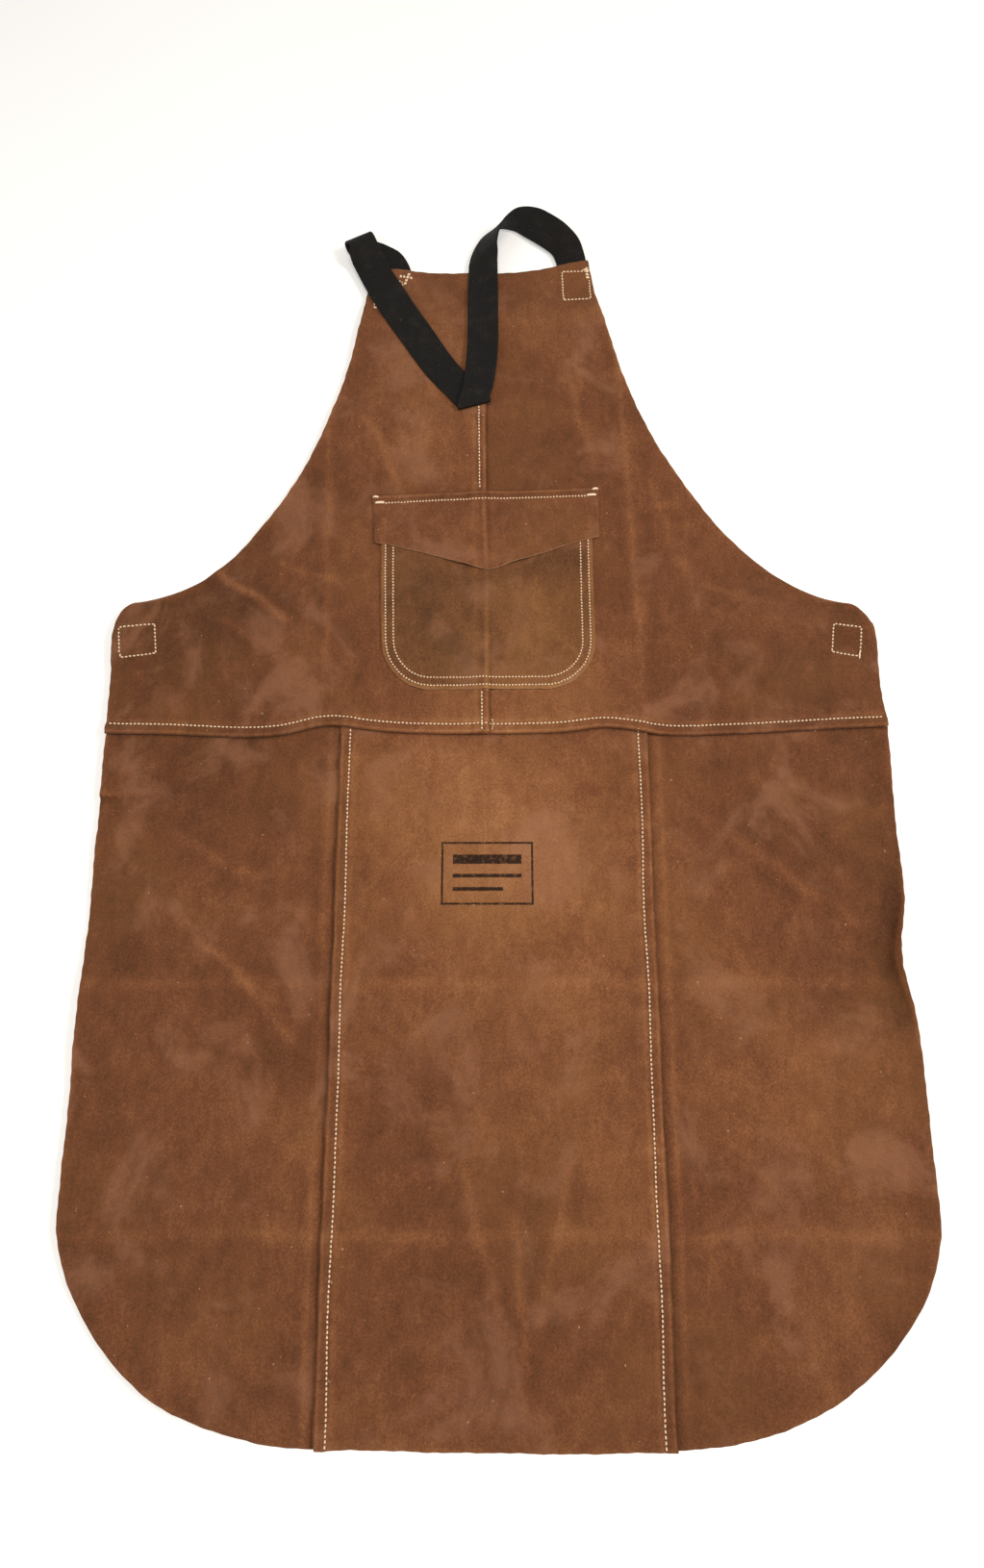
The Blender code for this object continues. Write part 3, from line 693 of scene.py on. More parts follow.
def bib_side(side):
    rows = bib_grid_rows()
    inner = stations(-LAP, 0.018, [0.0]) if side > 0 else stations(0.0, 0.018, [0.004])
    shares = np.linspace(0, 1, int(0.30 / MESH_STEP))[1:]
    width = side * (lean(rows) - bib_seam(rows)) + bib_half(rows)
    width = width + ragged(rows, 67 + side)
    steps = np.concatenate([np.repeat(inner[None], len(rows), 0),
                            inner[-1] + (width[:, None] - inner[-1]) * shares[None]], 1)
    if side < 0:
        steps = steps[:, ::-1]
    x = bib_seam(rows)[:, None] + side * steps
    y = np.repeat(rows[:, None], x.shape[1], 1)
    y = y + top_rise(x, y) + waist_wave(x) * smooth((0.05 - y) / 0.05)
    y = y + ragged(x, 71) * smooth((y - BIB_HEIGHT + 0.02) / 0.02)
    rounding = (FOLDED, RAW if side > 0 else FOLDED, RAW, RAW)
    fixed_sheet(f"bib_{WORD[side]}_leather", x, y, f"bib_{WORD[side]}", rounding, SUEDE,
                ["skirt_centre_leather"], f"bib_{WORD[side]}_panel")


def pocket_patch():
    half = stations(0.0, POCKET_HALF, [0.077, POCKET_HALF])
    xs = np.concatenate([-half[:0:-1], half])
    shares = (stations(POCKET_BOTTOM, POCKET_MOUTH, [POCKET_BOTTOM + 0.004, POCKET_MOUTH])
              - POCKET_BOTTOM) / (POCKET_MOUTH - POCKET_BOTTOM)
    low = pocket_bottom(xs) + ragged(xs, 73, 0.0003)
    y = low[None] + (POCKET_MOUTH - low[None]) * shares[:, None]
    x = POCKET_X + pocket_taper(np.repeat(xs[None], len(shares), 0), y)
    fixed_sheet("pocket_leather", x, y, "pocket", (0.45, 0.45, RAW, 0.45), SUEDE_POCKET,
                ["bib_left_leather", "bib_right_leather"], "pocket_patch")


def pocket_flap():
    us = stations(-1, 1, [-1, 1], 0.012, 0.032, 0.02)
    vs = np.concatenate([stations(-FLAP_BAND, 0.008, [0.0], 0.0008, 0.002), [0.010, 0.0125]])
    rest = np.linspace(0, 1, 26)[1:]
    u = np.repeat(us[None], len(vs) + len(rest), 0)
    depth = flap_depth(us * FLAP_HALF[1]) + ragged(us * 0.09, 75, 0.0003)
    v = np.concatenate([np.repeat(vs[:, None], len(us), 1),
                        vs[-1] + (depth[None] - vs[-1]) * rest[:, None]])[::-1]
    half = FLAP_HALF[0] + (FLAP_HALF[1] - FLAP_HALF[0]) * np.clip(v / FLAP_TIP, 0, 1)
    x, y = flap_place(u * half + np.sign(u) * ragged(v, 76, 0.0002) * np.abs(u) ** 8, v)
    thing = leather_sheet("pocket_flap_leather", x, y, "flap", (RAW, RAW, FOLDED, RAW), SUEDE,
                          ["pocket_leather"], "pocket_flap_band", "pocket_flap")
    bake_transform(thing)


# ---- Webbing

def row_edges(x, y, z, angle, half=WEB_HALF, tilt=0.0):
    turn, bank = math.radians(angle), math.radians(tilt)
    across = np.array([math.cos(turn) * math.cos(bank), math.sin(turn) * math.cos(bank), -math.sin(bank)])
    centre = np.array([x, y, z])
    return np.stack([centre - across * half, centre + across * half])


def fold_rows(x, y, z, angle, half, radii, out, steps=8):
    """A half turn over a fold line; radii are those of its first and its second edge."""
    start = row_edges(x, y, z, angle, half)
    away = np.array([math.cos(math.radians(out)), math.sin(math.radians(out)), 0.0])
    up = np.array([0.0, 0.0, 1.0])
    radii = np.array(radii)[:, None]
    turns = np.linspace(0, math.pi, steps + 1)
    return [start + radii * (math.sin(turn) * away + (1 - math.cos(turn)) * up) for turn in turns]


def refine(keys):
    """More rows along a ribbon, on a smooth curve through the given ones, and where each given one is."""
    keys = np.array(keys)
    gap = np.linalg.norm(np.diff(keys.mean(1), axis=0), axis=1)
    rate = np.diff(keys, axis=0) / gap[:, None, None]
    weight = (gap[1:] / (gap[1:] + gap[:-1]))[:, None, None]
    slope = np.concatenate([rate[:1], rate[:-1] * weight + rate[1:] * (1 - weight), rate[-1:]])
    rows, places = [], []
    for k, h in enumerate(gap):
        places.append(len(rows))
        count = max(1, round(h / ROW_STEP))
        for t in np.arange(count) / count:
            rows.append((1 + 2 * t) * (1 - t) ** 2 * keys[k] + t * (1 - t) ** 2 * h * slope[k]
                        + t * t * (3 - 2 * t) * keys[k + 1] + t * t * (t - 1) * h * slope[k + 1])
    places.append(len(rows))
    rows.append(keys[-1])
    return np.array(rows), places


def ribbon(rows, columns=10):
    """Points across each row of a webbing's middle surface, their normals, and the length up to each row."""
    share = np.linspace(0, 1, columns + 1)[None, :, None]
    middle = rows[:, :1] * (1 - share) + rows[:, 1:] * share
    normal = np.cross(np.gradient(middle, axis=1), np.gradient(middle, axis=0))
    normal /= np.linalg.norm(normal, axis=2, keepdims=True)
    return middle, normal, lengths_along(rows.mean(1))


def webbing(name, band, first, last, ends, *nodes):
    """The stretch of a ribbon between two of its rows, as woven webbing."""
    middle, normal, along = (part[first:last + 1] for part in band)
    half = normal * WEB / 2
    thing = shell(name, middle - half, middle + half, (ends[0], 1.0, ends[1], 1.0), WEBBING, rings=6)
    rows, columns = middle.shape[:2]
    lengthwise = np.repeat(along[:, None], columns, 1).ravel()
    sideways = np.tile(np.linspace(-WEB_HALF, WEB_HALF, columns), rows)
    rim = around(np.arange(rows * columns).reshape(rows, columns))
    for field_name, values in (("strap_along", lengthwise), ("strap_across", sideways)):
        set_attribute(thing.data, field_name, np.concatenate([values, values, np.tile(values[rim], 5)]))
    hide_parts(*nodes)
    return thing


def settle_loop(rows):
    """Lowers the loop onto the bib, the pocket and itself, and eases it to the height of its two cut ends."""
    ground = envelope(LAYERS["on_all"], 0.35, 0.02)
    share = np.linspace(0, 1, 9)[None, :, None]
    spots = rows[:, :1] * (1 - share) + rows[:, 1:] * share
    under = sum(sample(field, spots[:, :, 0], spots[:, :, 1]) for field in (ground, RELIEF)).max(1)
    kernel = np.exp(-np.linspace(-2, 2, 11) ** 2)
    eased = np.convolve(np.pad(under, 5, mode="edge"), kernel / kernel.sum(), mode="valid")
    lift = np.maximum(under, eased) + GAP + WEB / 2
    centre = rows.mean(1)
    free = smooth((NECK_HINGE_Y - centre[:, 1]) / 0.016)
    cut = np.where(centre[:, 0] < -0.06, NECK_CUT_Z[0], NECK_CUT_Z[1])
    rows[:, :, 2] += (lift * free + cut * (1 - free))[:, None]
    return rows


def neck_strap():
    """One webbing, in three pieces cut where the frame's neck hinge crosses it."""
    flat = WEB / 2
    left = [row_edges(x, y, flat, angle) for x, y, angle in (
        (-0.0905, 0.390, 0), (-0.0895, 0.411, 9), (-0.0890, 0.429, 24), (-0.0955, 0.4425, 42),
        (-0.1085, 0.4510, 49))]
    left += fold_rows(-0.1210, 0.4578, flat, 43, WEB_HALF, (0.0068, 0.0038), 133, 12)
    left += [row_edges(-0.1178, 0.4478, 0.0094, 30, 0.0138, 9)]
    stacked = 0.0022
    loop = [row_edges(x, y, 0, angle, half) for x, y, angle, half in (
        (-0.1125, NECK_HINGE_Y, 0, 0.0150), (-0.1015, 0.4150, 27, 0.0142), (-0.0890, 0.3920, 30, 0.0142),
        (-0.0695, 0.3620, 33, 0.0140), (-0.0470, 0.3270, 33, 0.0134), (-0.0264, 0.3010, 33, WEB_HALF))]
    loop += fold_rows(-0.0188, 0.2900, 0, 15, 0.0137, (stacked / 2, stacked / 2), -75)
    loop += [row_edges(-0.0160, 0.3060, stacked, 5), row_edges(-0.0125, 0.3340, stacked, 2)]
    loop += [row_edges(-0.0115, y, 0, 0, tilt=tilt)
             for y, tilt in ((0.3560, 0), (0.3850, 0), (0.4080, -3), (NECK_HINGE_Y, -16))]
    right = [(-0.0103, 0.4440, 0.0078, -12, -24), (-0.0068, 0.4560, 0.0103, -42, -37),
             (-0.0016, 0.4655, 0.0118, -50, -50), (0.0068, 0.4730, 0.0124, -62, -62),
             (0.0178, 0.4758, 0.0128, -40, -80), (0.0312, 0.4725, 0.0127, 31, -63),
             (0.0428, 0.4664, 0.0118, 31, -50), (0.0540, 0.4598, 0.0095, 24, -37),
             (0.0625, 0.4530, 0.0060, 16, -20), (0.0670, 0.4440, 0.0022, 8, -4),
             (0.0690, 0.4330, flat, 4, 0), (0.0702, 0.4150, flat, 1, 0), (0.0715, 0.3900, flat, 0, 0)]
    right = [row_edges(x, y, z, angle, tilt=tilt) for x, y, z, angle, tilt in right]
    loop_rows, _ = refine(loop)
    settled = settle_loop(loop_rows)
    left_rows, _ = refine(left + [settled[0]])
    right_rows, _ = refine([settled[-1], *right])
    band = ribbon(np.concatenate([left_rows[:-1], settled[:-1], right_rows]))
    cuts = (0, len(left_rows) - 1, len(left_rows) + len(settled) - 2, len(band[0]) - 1)
    for word, first, ends in (("left", 0, (CUT_END, OPEN_END)), ("right", 2, (OPEN_END, CUT_END))):
        run = webbing(f"neck_strap_{word}_webbing", band, cuts[first], cuts[first + 1], ends,
                      f"neck_strap_{word}_run")
        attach(run, "root")
    run = webbing("neck_strap_loop_webbing", band, cuts[1], cuts[2], (OPEN_END, OPEN_END), "neck_strap_loop")
    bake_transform(run)


def waist_strap(side, tail):
    """A waist strap from its sewn tab, folded under at the hip and round the buckle's bar."""
    name = f"waist_strap_{WORD[side]}"
    low, high = WEB / 2, 0.0020 + WEB / 2
    radius, wrap, third = (high - low) / 2, 0.0029, 3 * low + GAP
    turn = np.linspace(0, math.pi, 13)
    tab = [(0.268, high), (0.290, high)]
    fold = [(STRAP_EDGE + radius * math.sin(a), low + radius + radius * math.cos(a)) for a in turn]
    run = [(0.270, low), (0.240, low)]
    run += [(BAR_X - wrap * math.sin(a), BAR_Z - wrap * math.cos(a)) for a in turn]
    run += [(0.2262, BAR_Z + wrap - 0.0004), (0.2340, third + 0.0005), (0.2400, third), (tail, third)]
    rows, places = refine([row_edges(side * x, HIP_SIDE, z, side * 90) for x, z in tab + fold + run])
    band = ribbon(rows)
    cuts = (0, places[len(tab)], places[len(tab) + len(fold) - 1], len(rows) - 1)
    piece = webbing(f"{name}_tab_webbing", band, cuts[0], cuts[1], (CUT_END, OPEN_END), f"{name}_tab")
    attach(piece, "root")
    piece = webbing(f"{name}_fold_webbing", band, cuts[1], cuts[2], (OPEN_END, OPEN_END))
    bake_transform(piece)
    piece = webbing(f"{name}_webbing", band, cuts[2], cuts[3], (OPEN_END, CUT_END), name)
    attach(piece, f"{name}_run")


# ---- Stitches

def stitch_faces(count):
    """Faces of separate closed tubes, whose points are their rings and then their two tips."""
    rings = len(STITCH_PROFILE)
    block = rings * STITCH_SIDES
    index = np.arange(block).reshape(rings, STITCH_SIDES)
    after = np.roll(index, -1, 1)
    sides = np.stack([index[:-1], after[:-1], after[1:], index[1:]], 2).reshape(-1, 4)
    tip = np.full(STITCH_SIDES, block)
    caps = np.concatenate([np.stack([tip, after[0], index[0]], 1),
                           np.stack([tip + 1, index[-1], after[-1]], 1)])
    offset = (np.arange(count) * (block + 2))[:, None, None]
    return (sides + offset).reshape(-1, 4).tolist() + (caps + offset).reshape(-1, 3).tolist()


def stitch_ends(lines, pitch, source):
    """The two ends of every stitch along some lines, its direction aside, and how far it reaches."""
    spans = [resample(line, lambda length: 1 + (round(length / pitch) if length > LONGEST_TACK else 1))
             for line in lines]
    starts = np.concatenate([span[:-1] for span in spans])
    ends = np.concatenate([span[1:] for span in spans])
    ahead = ends - starts
    length = np.linalg.norm(ahead, axis=1, keepdims=True)
    ahead = ahead / length
    aside = np.stack([-ahead[:, 1], ahead[:, 0]], 1)
    wobble = source.normal(0, 0.00010, (len(starts), 2, 1))
    return (starts + ahead * STITCH_GAPS[0] + aside * wobble[:, 0],
            ends - ahead * STITCH_GAPS[1] + aside * wobble[:, 1], aside, length)


def stitch_points(starts, ends, aside, length, layer):
    """Rings of points along every stitch, which dips into the leather at both ends, and its two tips."""
    shares, swell, rise = np.array(STITCH_PROFILE).T
    swell = swell * STITCH_RADIUS
    centre = starts[:, None] * (1 - shares[None, :, None]) + ends[:, None] * shares[None, :, None]
    z = height_on(layer, centre[:, :, 0], centre[:, :, 1])
    z = np.maximum(z, z.mean(1, keepdims=True) - 0.0002) + rise + TACK_LIFT * smooth((length - 0.005) / 0.004)
    angles = 2 * math.pi * np.arange(STITCH_SIDES) / STITCH_SIDES
    points = np.empty((len(starts), len(shares), STITCH_SIDES, 3))
    sideways = (swell[:, None] * np.cos(angles))[None, ..., None]
    points[..., :2] = centre[:, :, None] + aside[:, None, None] * sideways
    points[..., 2] = z[:, :, None] + 0.85 * swell[:, None] * np.sin(angles)
    tips = np.stack([np.concatenate([centre[:, k], z[:, k, None] - 0.0001], 1) for k in (0, -1)], 1)
    return np.concatenate([points.reshape(len(starts), -1, 3), tips], 1)


def stitches(what, route, seed, backtacks=(), layer="on_bib", pitch=STITCH_PITCH, thread=None):
    """Separate stitches along a route in plan, which stand for one of the frame's threads."""
    source = np.random.default_rng(100 + seed)
    starts, ends, aside, length = stitch_ends([route, *backtacks], pitch, source)
    points = stitch_points(starts, ends, aside, length, layer)
    mesh = bpy.data.meshes.new(f"{what}_stitches")
    mesh.from_pydata(points.reshape(-1, 3).tolist(), [], stitch_faces(len(points)))
    mesh.update()
    mesh.shade_smooth()
    mesh.materials.append(THREAD)
    shares = np.array(STITCH_PROFILE)[:, 0]
    along = np.repeat(shares[None, :, None] * length[:, None], STITCH_SIDES, 2).reshape(len(points), -1)
    set_attribute(mesh, "thread_along", np.concatenate([along, np.zeros((len(points), 2))], 1))
    thing = link(f"{what}_stitches", mesh)
    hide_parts(thread or f"{what}_thread")
    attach(thing, "root")


def pocket_route(inset):
    half, radius, low = POCKET_HALF - inset, POCKET_RADIUS - inset, POCKET_BOTTOM + inset
    top = POCKET_MOUTH - 0.002
    route = [(-half, top)]
    for start, centre in ((180, -half + radius), (270, half - radius)):
        for k in range(13):
            angle = math.radians(start + 7.5 * k)
            route.append((centre + radius * math.cos(angle), low + radius + radius * math.sin(angle)))
    route = polyline([*route, (half, top)])
    route[:, 0] = POCKET_X + pocket_taper(route[:, 0], route[:, 1])
    return route


def box_route(x, y, width, height, turn):
    """A closed box of stitching, turned a little clockwise."""
    return polyline([(x + a * width / 2 + turn * b * height / 2, y + b * height / 2 - turn * a * width / 2)
                     for a, b in ((-1, -1), (1, -1), (1, 1), (-1, 1), (-1, -1))])


def seam_stitching():
    left, right = SKIRT_SEAMS
    upper, lower = np.arange(0.2125, 0.4240, 0.001), np.arange(0.0015, 0.0350, 0.001)
    tack = [(bib_seam(0) + 0.002 + 0.002 * (k % 2), 0.002 + 0.0016 * k) for k in range(7)]
    across = np.arange(-WIDTH / 2 + 0.002, WIDTH / 2 - 0.002, 0.001)
    down = np.arange(SKIRT_BOTTOM + 0.001, 0.0035, 0.001)
    wander = 0.0005 * waves(down, (0.11, 0.19), 81)
    seams = (("bib_seam", bib_seam(upper) - 0.005, upper, []),
             ("bib_seam_lower", bib_seam(lower) - 0.005, lower, [tack]),
             ("waist_seam", across, 0.007 + waist_wave(across), []),
             ("skirt_left_seam", left + 0.0065 + wander, down, []),
             ("skirt_right_seam", right - 0.0065 - wander, down, []))
    for seed, (seam, x, y, tacks) in enumerate(seams, 1):
        stitches(seam, np.stack([x, y], 1), seed, tacks)


def pocket_stitching():
    for seed, word, inset in ((6, "outer", 0.0030), (7, "inner", 0.0095)):
        stitches(f"pocket_{word}", pocket_route(inset), seed, layer="on_pocket", pitch=FINE_PITCH)
    ends = [flap_place(u, 0.0003) for u in (-FLAP_HALF[0] + 0.0015, FLAP_HALF[0] - 0.0015)]
    tacks = []
    for side in (-1, 1):
        u = side * (FLAP_HALF[0] - 0.001)
        tacks += [[flap_place(u, v), flap_place(u - side * 0.009, v)] for v in (-0.0001, 0.0006)]
        tacks += [[flap_place(u + side * 0.0022, v), flap_place(u - side * 0.0040, v + 0.0006)]
                  for v in (-0.0062, -0.0056)]
    stitches("flap_top", polyline(ends), 8, tacks, "on_all", FINE_PITCH, "flap_topstitch_thread")


def box_stitching():
    """The boxes that hold the strap ends, with the backtacks that show beside three of them."""
    hip_half, spread = WIDTH / 2 - 0.0046 - 0.01425, [0.0006 * k for k in (-1, 0, 1)]
    hip_left, hip_right = lean(HIP_SIDE) - hip_half + 0.0018, lean(HIP_SIDE) + hip_half - 0.0044
    hip_y = HIP_SIDE - 0.0010
    hip_tack = [[(hip_right + 0.0092, hip_y - 0.0100), (hip_right + 0.0086, hip_y - 0.0170)]]
    top = [[(0.0818 + step, 0.4220), (0.0812 + step, 0.4345)] for step in spread]
    top += [[(0.0770, 0.4300), (0.0850, 0.4306)]]
    cross = [[(-0.0866, 0.4250 + step), (-0.0744, 0.4236 + step)] for step in spread]
    cross += [[(-0.0815 + step, 0.4160), (-0.0775 + step, 0.4292)] for step in spread]
    boxes = (("hip_left", 9, (hip_left, hip_y, 0.0280, 0.0250, -0.13), []),
             ("hip_right", 10, (hip_right, hip_y, 0.0218, 0.0244, 0.16), hip_tack),
             ("neck_right", 12, (0.0715, 0.4140, 0.0240, 0.0310, -0.03), top),
             ("neck_left", 13, (-0.0955, 0.4045, 0.0235, 0.0305, 0.03), cross))
    for place, seed, box, tacks in boxes:
        stitches(f"{place}_box", box_route(*box), seed, tacks)


# ---- Materials

class Shader:
    """Short-hand for building one material's nodes."""

    def __init__(self, name):
        self.material = bpy.data.materials.new(name)
        self.material.use_nodes = True
        self.tree = self.material.node_tree
        self.tree.nodes.clear()
        self.place = self.add("ShaderNodeTexCoord").outputs["Object"]

    def add(self, kind, inputs=None, **settings):
        node = self.tree.nodes.new(kind)
        for key, value in settings.items():
            setattr(node, key, value)
        for key, value in (inputs or {}).items():
            if isinstance(value, bpy.types.NodeSocket):
                self.tree.links.new(value, node.inputs[key])
            else:
                node.inputs[key].default_value = value
        return node

    def math(self, operation, a, b=0.0):
        return self.add("ShaderNodeMath", {0: a, 1: b}, operation=operation).outputs[0]

    def plus(self, a, b):
        return self.math("ADD", a, b)

    def minus(self, a, b):
        return self.math("SUBTRACT", a, b)

    def times(self, a, b):
        return self.math("MULTIPLY", a, b)

    def attribute(self, name):
        return self.add("ShaderNodeAttribute", attribute_name=name).outputs["Fac"]

    def noise(self, scale, detail=2.0, roughness=0.5, distortion=0.0, place=None, w=0.0):
        inputs = {"Vector": place or self.place, "W": w, "Scale": scale, "Detail": detail,
                  "Roughness": roughness, "Distortion": distortion}
        return self.add("ShaderNodeTexNoise", inputs, noise_dimensions="4D").outputs[0]

    def stretch(self, scale, angle=0.0):
        inputs = {"Vector": self.place, "Scale": scale, "Rotation": (0, 0, angle)}
        return self.add("ShaderNodeMapping", inputs).outputs[0]

    def ramp(self, value, low, high, out_low=0.0, out_high=1.0):
        inputs = {"Value": value, "From Min": low, "From Max": high, "To Min": out_low, "To Max": out_high}
        return self.add("ShaderNodeMapRange", inputs, interpolation_type="SMOOTHSTEP").outputs[0]

    def mix(self, factor, first, second):
        return self.add("ShaderNodeMix", {0: factor, 6: first, 7: second}, data_type="RGBA").outputs[2]

    def colours(self, value, stops):
        node = self.add("ShaderNodeValToRGB", {"Fac": value})
        band = node.color_ramp.elements
        while len(band) < len(stops):
            band.new(0.5)
        for element, (position, colour) in zip(band, stops):
            element.position = position
            element.color = colour
        return node.outputs["Color"]

    def weighted(self, *terms):
        """0.5 plus each (value, weight, middle): the value's distance from its middle, times the weight."""
        total = 0.5
        for value, weight, middle in terms:
            total = self.plus(self.times(self.minus(value, middle), weight), total)
        return total

    def finish(self, colour, bump_height=None, bump_depth=0.0003, bump_strength=1.0, **settings):
        inputs = {"Base Color": colour}
        if bump_height is not None:
            bumped = self.add("ShaderNodeBump", {"Height": bump_height, "Distance": bump_depth,
                                                 "Strength": bump_strength})
            inputs["Normal"] = bumped.outputs[0]
        principled = self.add("ShaderNodeBsdfPrincipled", inputs | {
            key.replace("_", " "): value for key, value in settings.items()})
        output = self.add("ShaderNodeOutputMaterial")
        self.tree.links.new(principled.outputs[0], output.inputs[0])
        return self.material


def srgb(red, green, blue):
    """A colour given as a screen shows it, from 0 to 255, in linear light."""
    parts = [value / 255 for value in (red, green, blue)]
    return (*[p / 12.92 if p <= 0.04045 else ((p + 0.055) / 1.055) ** 2.4 for p in parts], 1.0)


def ink_mark(shader):
    """A plain stencil in dark ink on the middle panel: a frame with three bars, worn by the nap."""
    parts = shader.add("ShaderNodeSeparateXYZ", {0: shader.place}).outputs
    x = shader.minus(parts[0], MARK_PLACE[0])
    y = shader.minus(parts[1], MARK_PLACE[1])

    def bar(cx, cy, half_x, half_y):
        over_x = shader.minus(shader.math("ABSOLUTE", shader.minus(x, cx)), half_x)
        over_y = shader.minus(shader.math("ABSOLUTE", shader.minus(y, cy)), half_y)
        return shader.math("MAXIMUM", over_x, over_y)

    wide, high, line = MARK_SIZE[0] / 2, MARK_SIZE[1] / 2, MARK_LINE
    frame_line = shader.minus(shader.math("ABSOLUTE", bar(0, 0, wide, high)), line / 2)
    shapes = [frame_line, bar(0, 0.0105, wide - 0.008, 0.0036), bar(0, -0.0020, wide - 0.008, 0.0014),
              bar(-0.007, -0.0120, wide - 0.015, 0.0014)]
    nearest = shapes[0]
    for shape in shapes[1:]:
        nearest = shader.math("MINIMUM", nearest, shape)
    rough = shader.times(shader.minus(shader.noise(900, 2), 0.5), 0.0011)
    inside = shader.ramp(shader.plus(nearest, rough), 0.00035, -0.00035)
    worn = shader.ramp(shader.noise(260, 3, 0.6), 0.30, 0.52, 0.55, 0.95)
    return shader.times(inside, worn)


def suede(name, shades, marked=False, grime=0.0):
    """Split leather: mottled nap in patches and streaks, short fibres, worn ridges, painted light and shade,
    and pale raw edges.
    """
    s = Shader(name)
    panel = s.attribute("panel")
    large = s.noise(6.5, 3, 0.55, 0.3, w=panel)
    patch = s.noise(24, 4, 0.60, 0.8, w=panel)
    nap = s.noise(85, 4, 0.62, 0.4, s.stretch((1.0, 0.72, 1.0), 0.35), w=panel)
    streak = s.noise(190, 3, 0.6, 0.3, s.stretch((1.0, 0.25, 1.0), 0.12), w=panel)
    fibre = s.noise(620, 3, 0.65, w=panel)
    speck = s.noise(1500, 1, 0.5, w=panel)
    # The two sampled rasters carry tone, worn ridges and seam edges, and painted light and shade: a pool of
    # light, and shade in creases, beside folds and in seam grooves.
    tone = s.weighted((large, 0.42, 0.5), (patch, 0.34, 0.5), (nap, 0.36, 0.5), (streak, 0.16, 0.5),
                      (fibre, 0.62, 0.5), (speck, 0.34, 0.5), (s.attribute("shade"), 1.0, 0.0),
                      (s.attribute("wear_and_painted_shade"), 0.14, 0.0))
    colour = s.colours(tone, [(position, srgb(*shade)) for position, shade in shades])
    ochre = s.times(s.ramp(s.noise(11, 3, 0.5, 0.5, w=panel), 0.46, 0.66), 0.16)
    colour = s.mix(ochre, colour, srgb(136, 92, 50))
    rust = s.times(s.ramp(s.noise(17, 5, 0.6, 0.7, w=s.plus(panel, 40.0)), 0.50, 0.68), 0.42)
    colour = s.mix(rust, colour, srgb(154, 107, 80))
    soot = s.times(s.attribute("soot"), s.ramp(s.noise(38, 4, 0.65, 0.6, w=panel), 0.25, 0.70))
    colour = s.mix(soot, colour, srgb(62, 42, 26))
    if grime:
        olive = s.times(s.ramp(patch, 0.35, 0.65), grime)
        colour = s.mix(olive, colour, srgb(66, 46, 26))
    if marked:
        colour = s.mix(ink_mark(s), colour, srgb(30, 19, 15))
    lint = s.ramp(s.noise(430, 0, 0.5, w=3.7), 0.845, 0.865)
    colour = s.mix(s.times(lint, 0.55), colour, srgb(205, 170, 135))
    edge = s.attribute("cut_edge")
    edge_colour = s.mix(s.ramp(s.noise(1400, 2), 0.3, 0.7), srgb(146, 100, 70), srgb(205, 162, 124))
    colour = s.mix(edge, colour, edge_colour)
    height = s.weighted((fibre, 0.55, 0.5), (speck, 0.25, 0.5), (nap, 0.5, 0.5), (patch, 0.4, 0.5))
    return s.finish(colour, height, 0.0011, 0.75, Roughness=0.92, Specular_IOR_Level=0.18,
                    Sheen_Weight=0.16, Sheen_Roughness=0.55, Sheen_Tint=srgb(214, 168, 128))


def woven(name):
    """Black webbing: ribs along the strap, crossed by the weft in a herringbone."""
    s = Shader(name)
    along, across = s.attribute("strap_along"), s.attribute("strap_across")
    rib = s.times(across, 1 / 0.0016)
    odd = s.math("PINGPONG", s.math("FLOOR", rib), 1.0)
    slant = s.times(s.math("PINGPONG", rib, 1.0), 0.6)
    weft = s.plus(s.times(along, 1 / 0.0021), s.plus(slant, s.times(odd, 0.5)))
    tooth = s.math("SINE", s.times(weft, 2 * math.pi))
    groove = s.math("ABSOLUTE", s.math("SINE", s.times(rib, math.pi)))
    height = s.plus(s.times(tooth, 0.28), groove)
    fuzz = s.noise(1300, 3, 0.6)
    dusty = s.ramp(s.noise(85, 4, 0.6), 0.45, 0.80)
    shade = s.weighted((height, 0.28, 0.5), (fuzz, 0.5, 0.5), (dusty, 0.35, 0.3))
    colour = s.colours(shade, [(0.15, srgb(8, 7, 6)), (0.55, srgb(22, 19, 17)), (0.95, srgb(52, 46, 41))])
    lint = s.ramp(s.noise(700, 0, 0.5), 0.83, 0.85)
    colour = s.mix(s.times(lint, 0.5), colour, srgb(150, 135, 118))
    height = s.plus(height, s.times(fuzz, 0.35))
    return s.finish(colour, height, 0.00045, 1.0, Roughness=0.70, Specular_IOR_Level=0.25,
                    Sheen_Weight=0.05, Sheen_Roughness=0.45, Sheen_Tint=srgb(120, 110, 100))


def spun(name):
    """Twisted sewing thread, with a little dirt from the leather."""
    s = Shader(name)
    along = s.attribute("thread_along")
    parts = s.add("ShaderNodeSeparateXYZ", {0: s.place}).outputs
    lean_over = s.times(s.plus(parts[0], parts[1]), 900.0)
    twist = s.math("SINE", s.plus(s.times(along, 2 * math.pi / 0.0009), lean_over))
    dirt = s.ramp(s.noise(120, 3, 0.6), 0.48, 0.80)
    colour = s.mix(dirt, srgb(255, 228, 194), srgb(240, 196, 152))
    return s.finish(colour, twist, 0.00009, 0.8, Roughness=0.60, Specular_IOR_Level=0.40,
                    Sheen_Weight=0.10, Sheen_Roughness=0.4, Sheen_Tint=srgb(255, 240, 215))


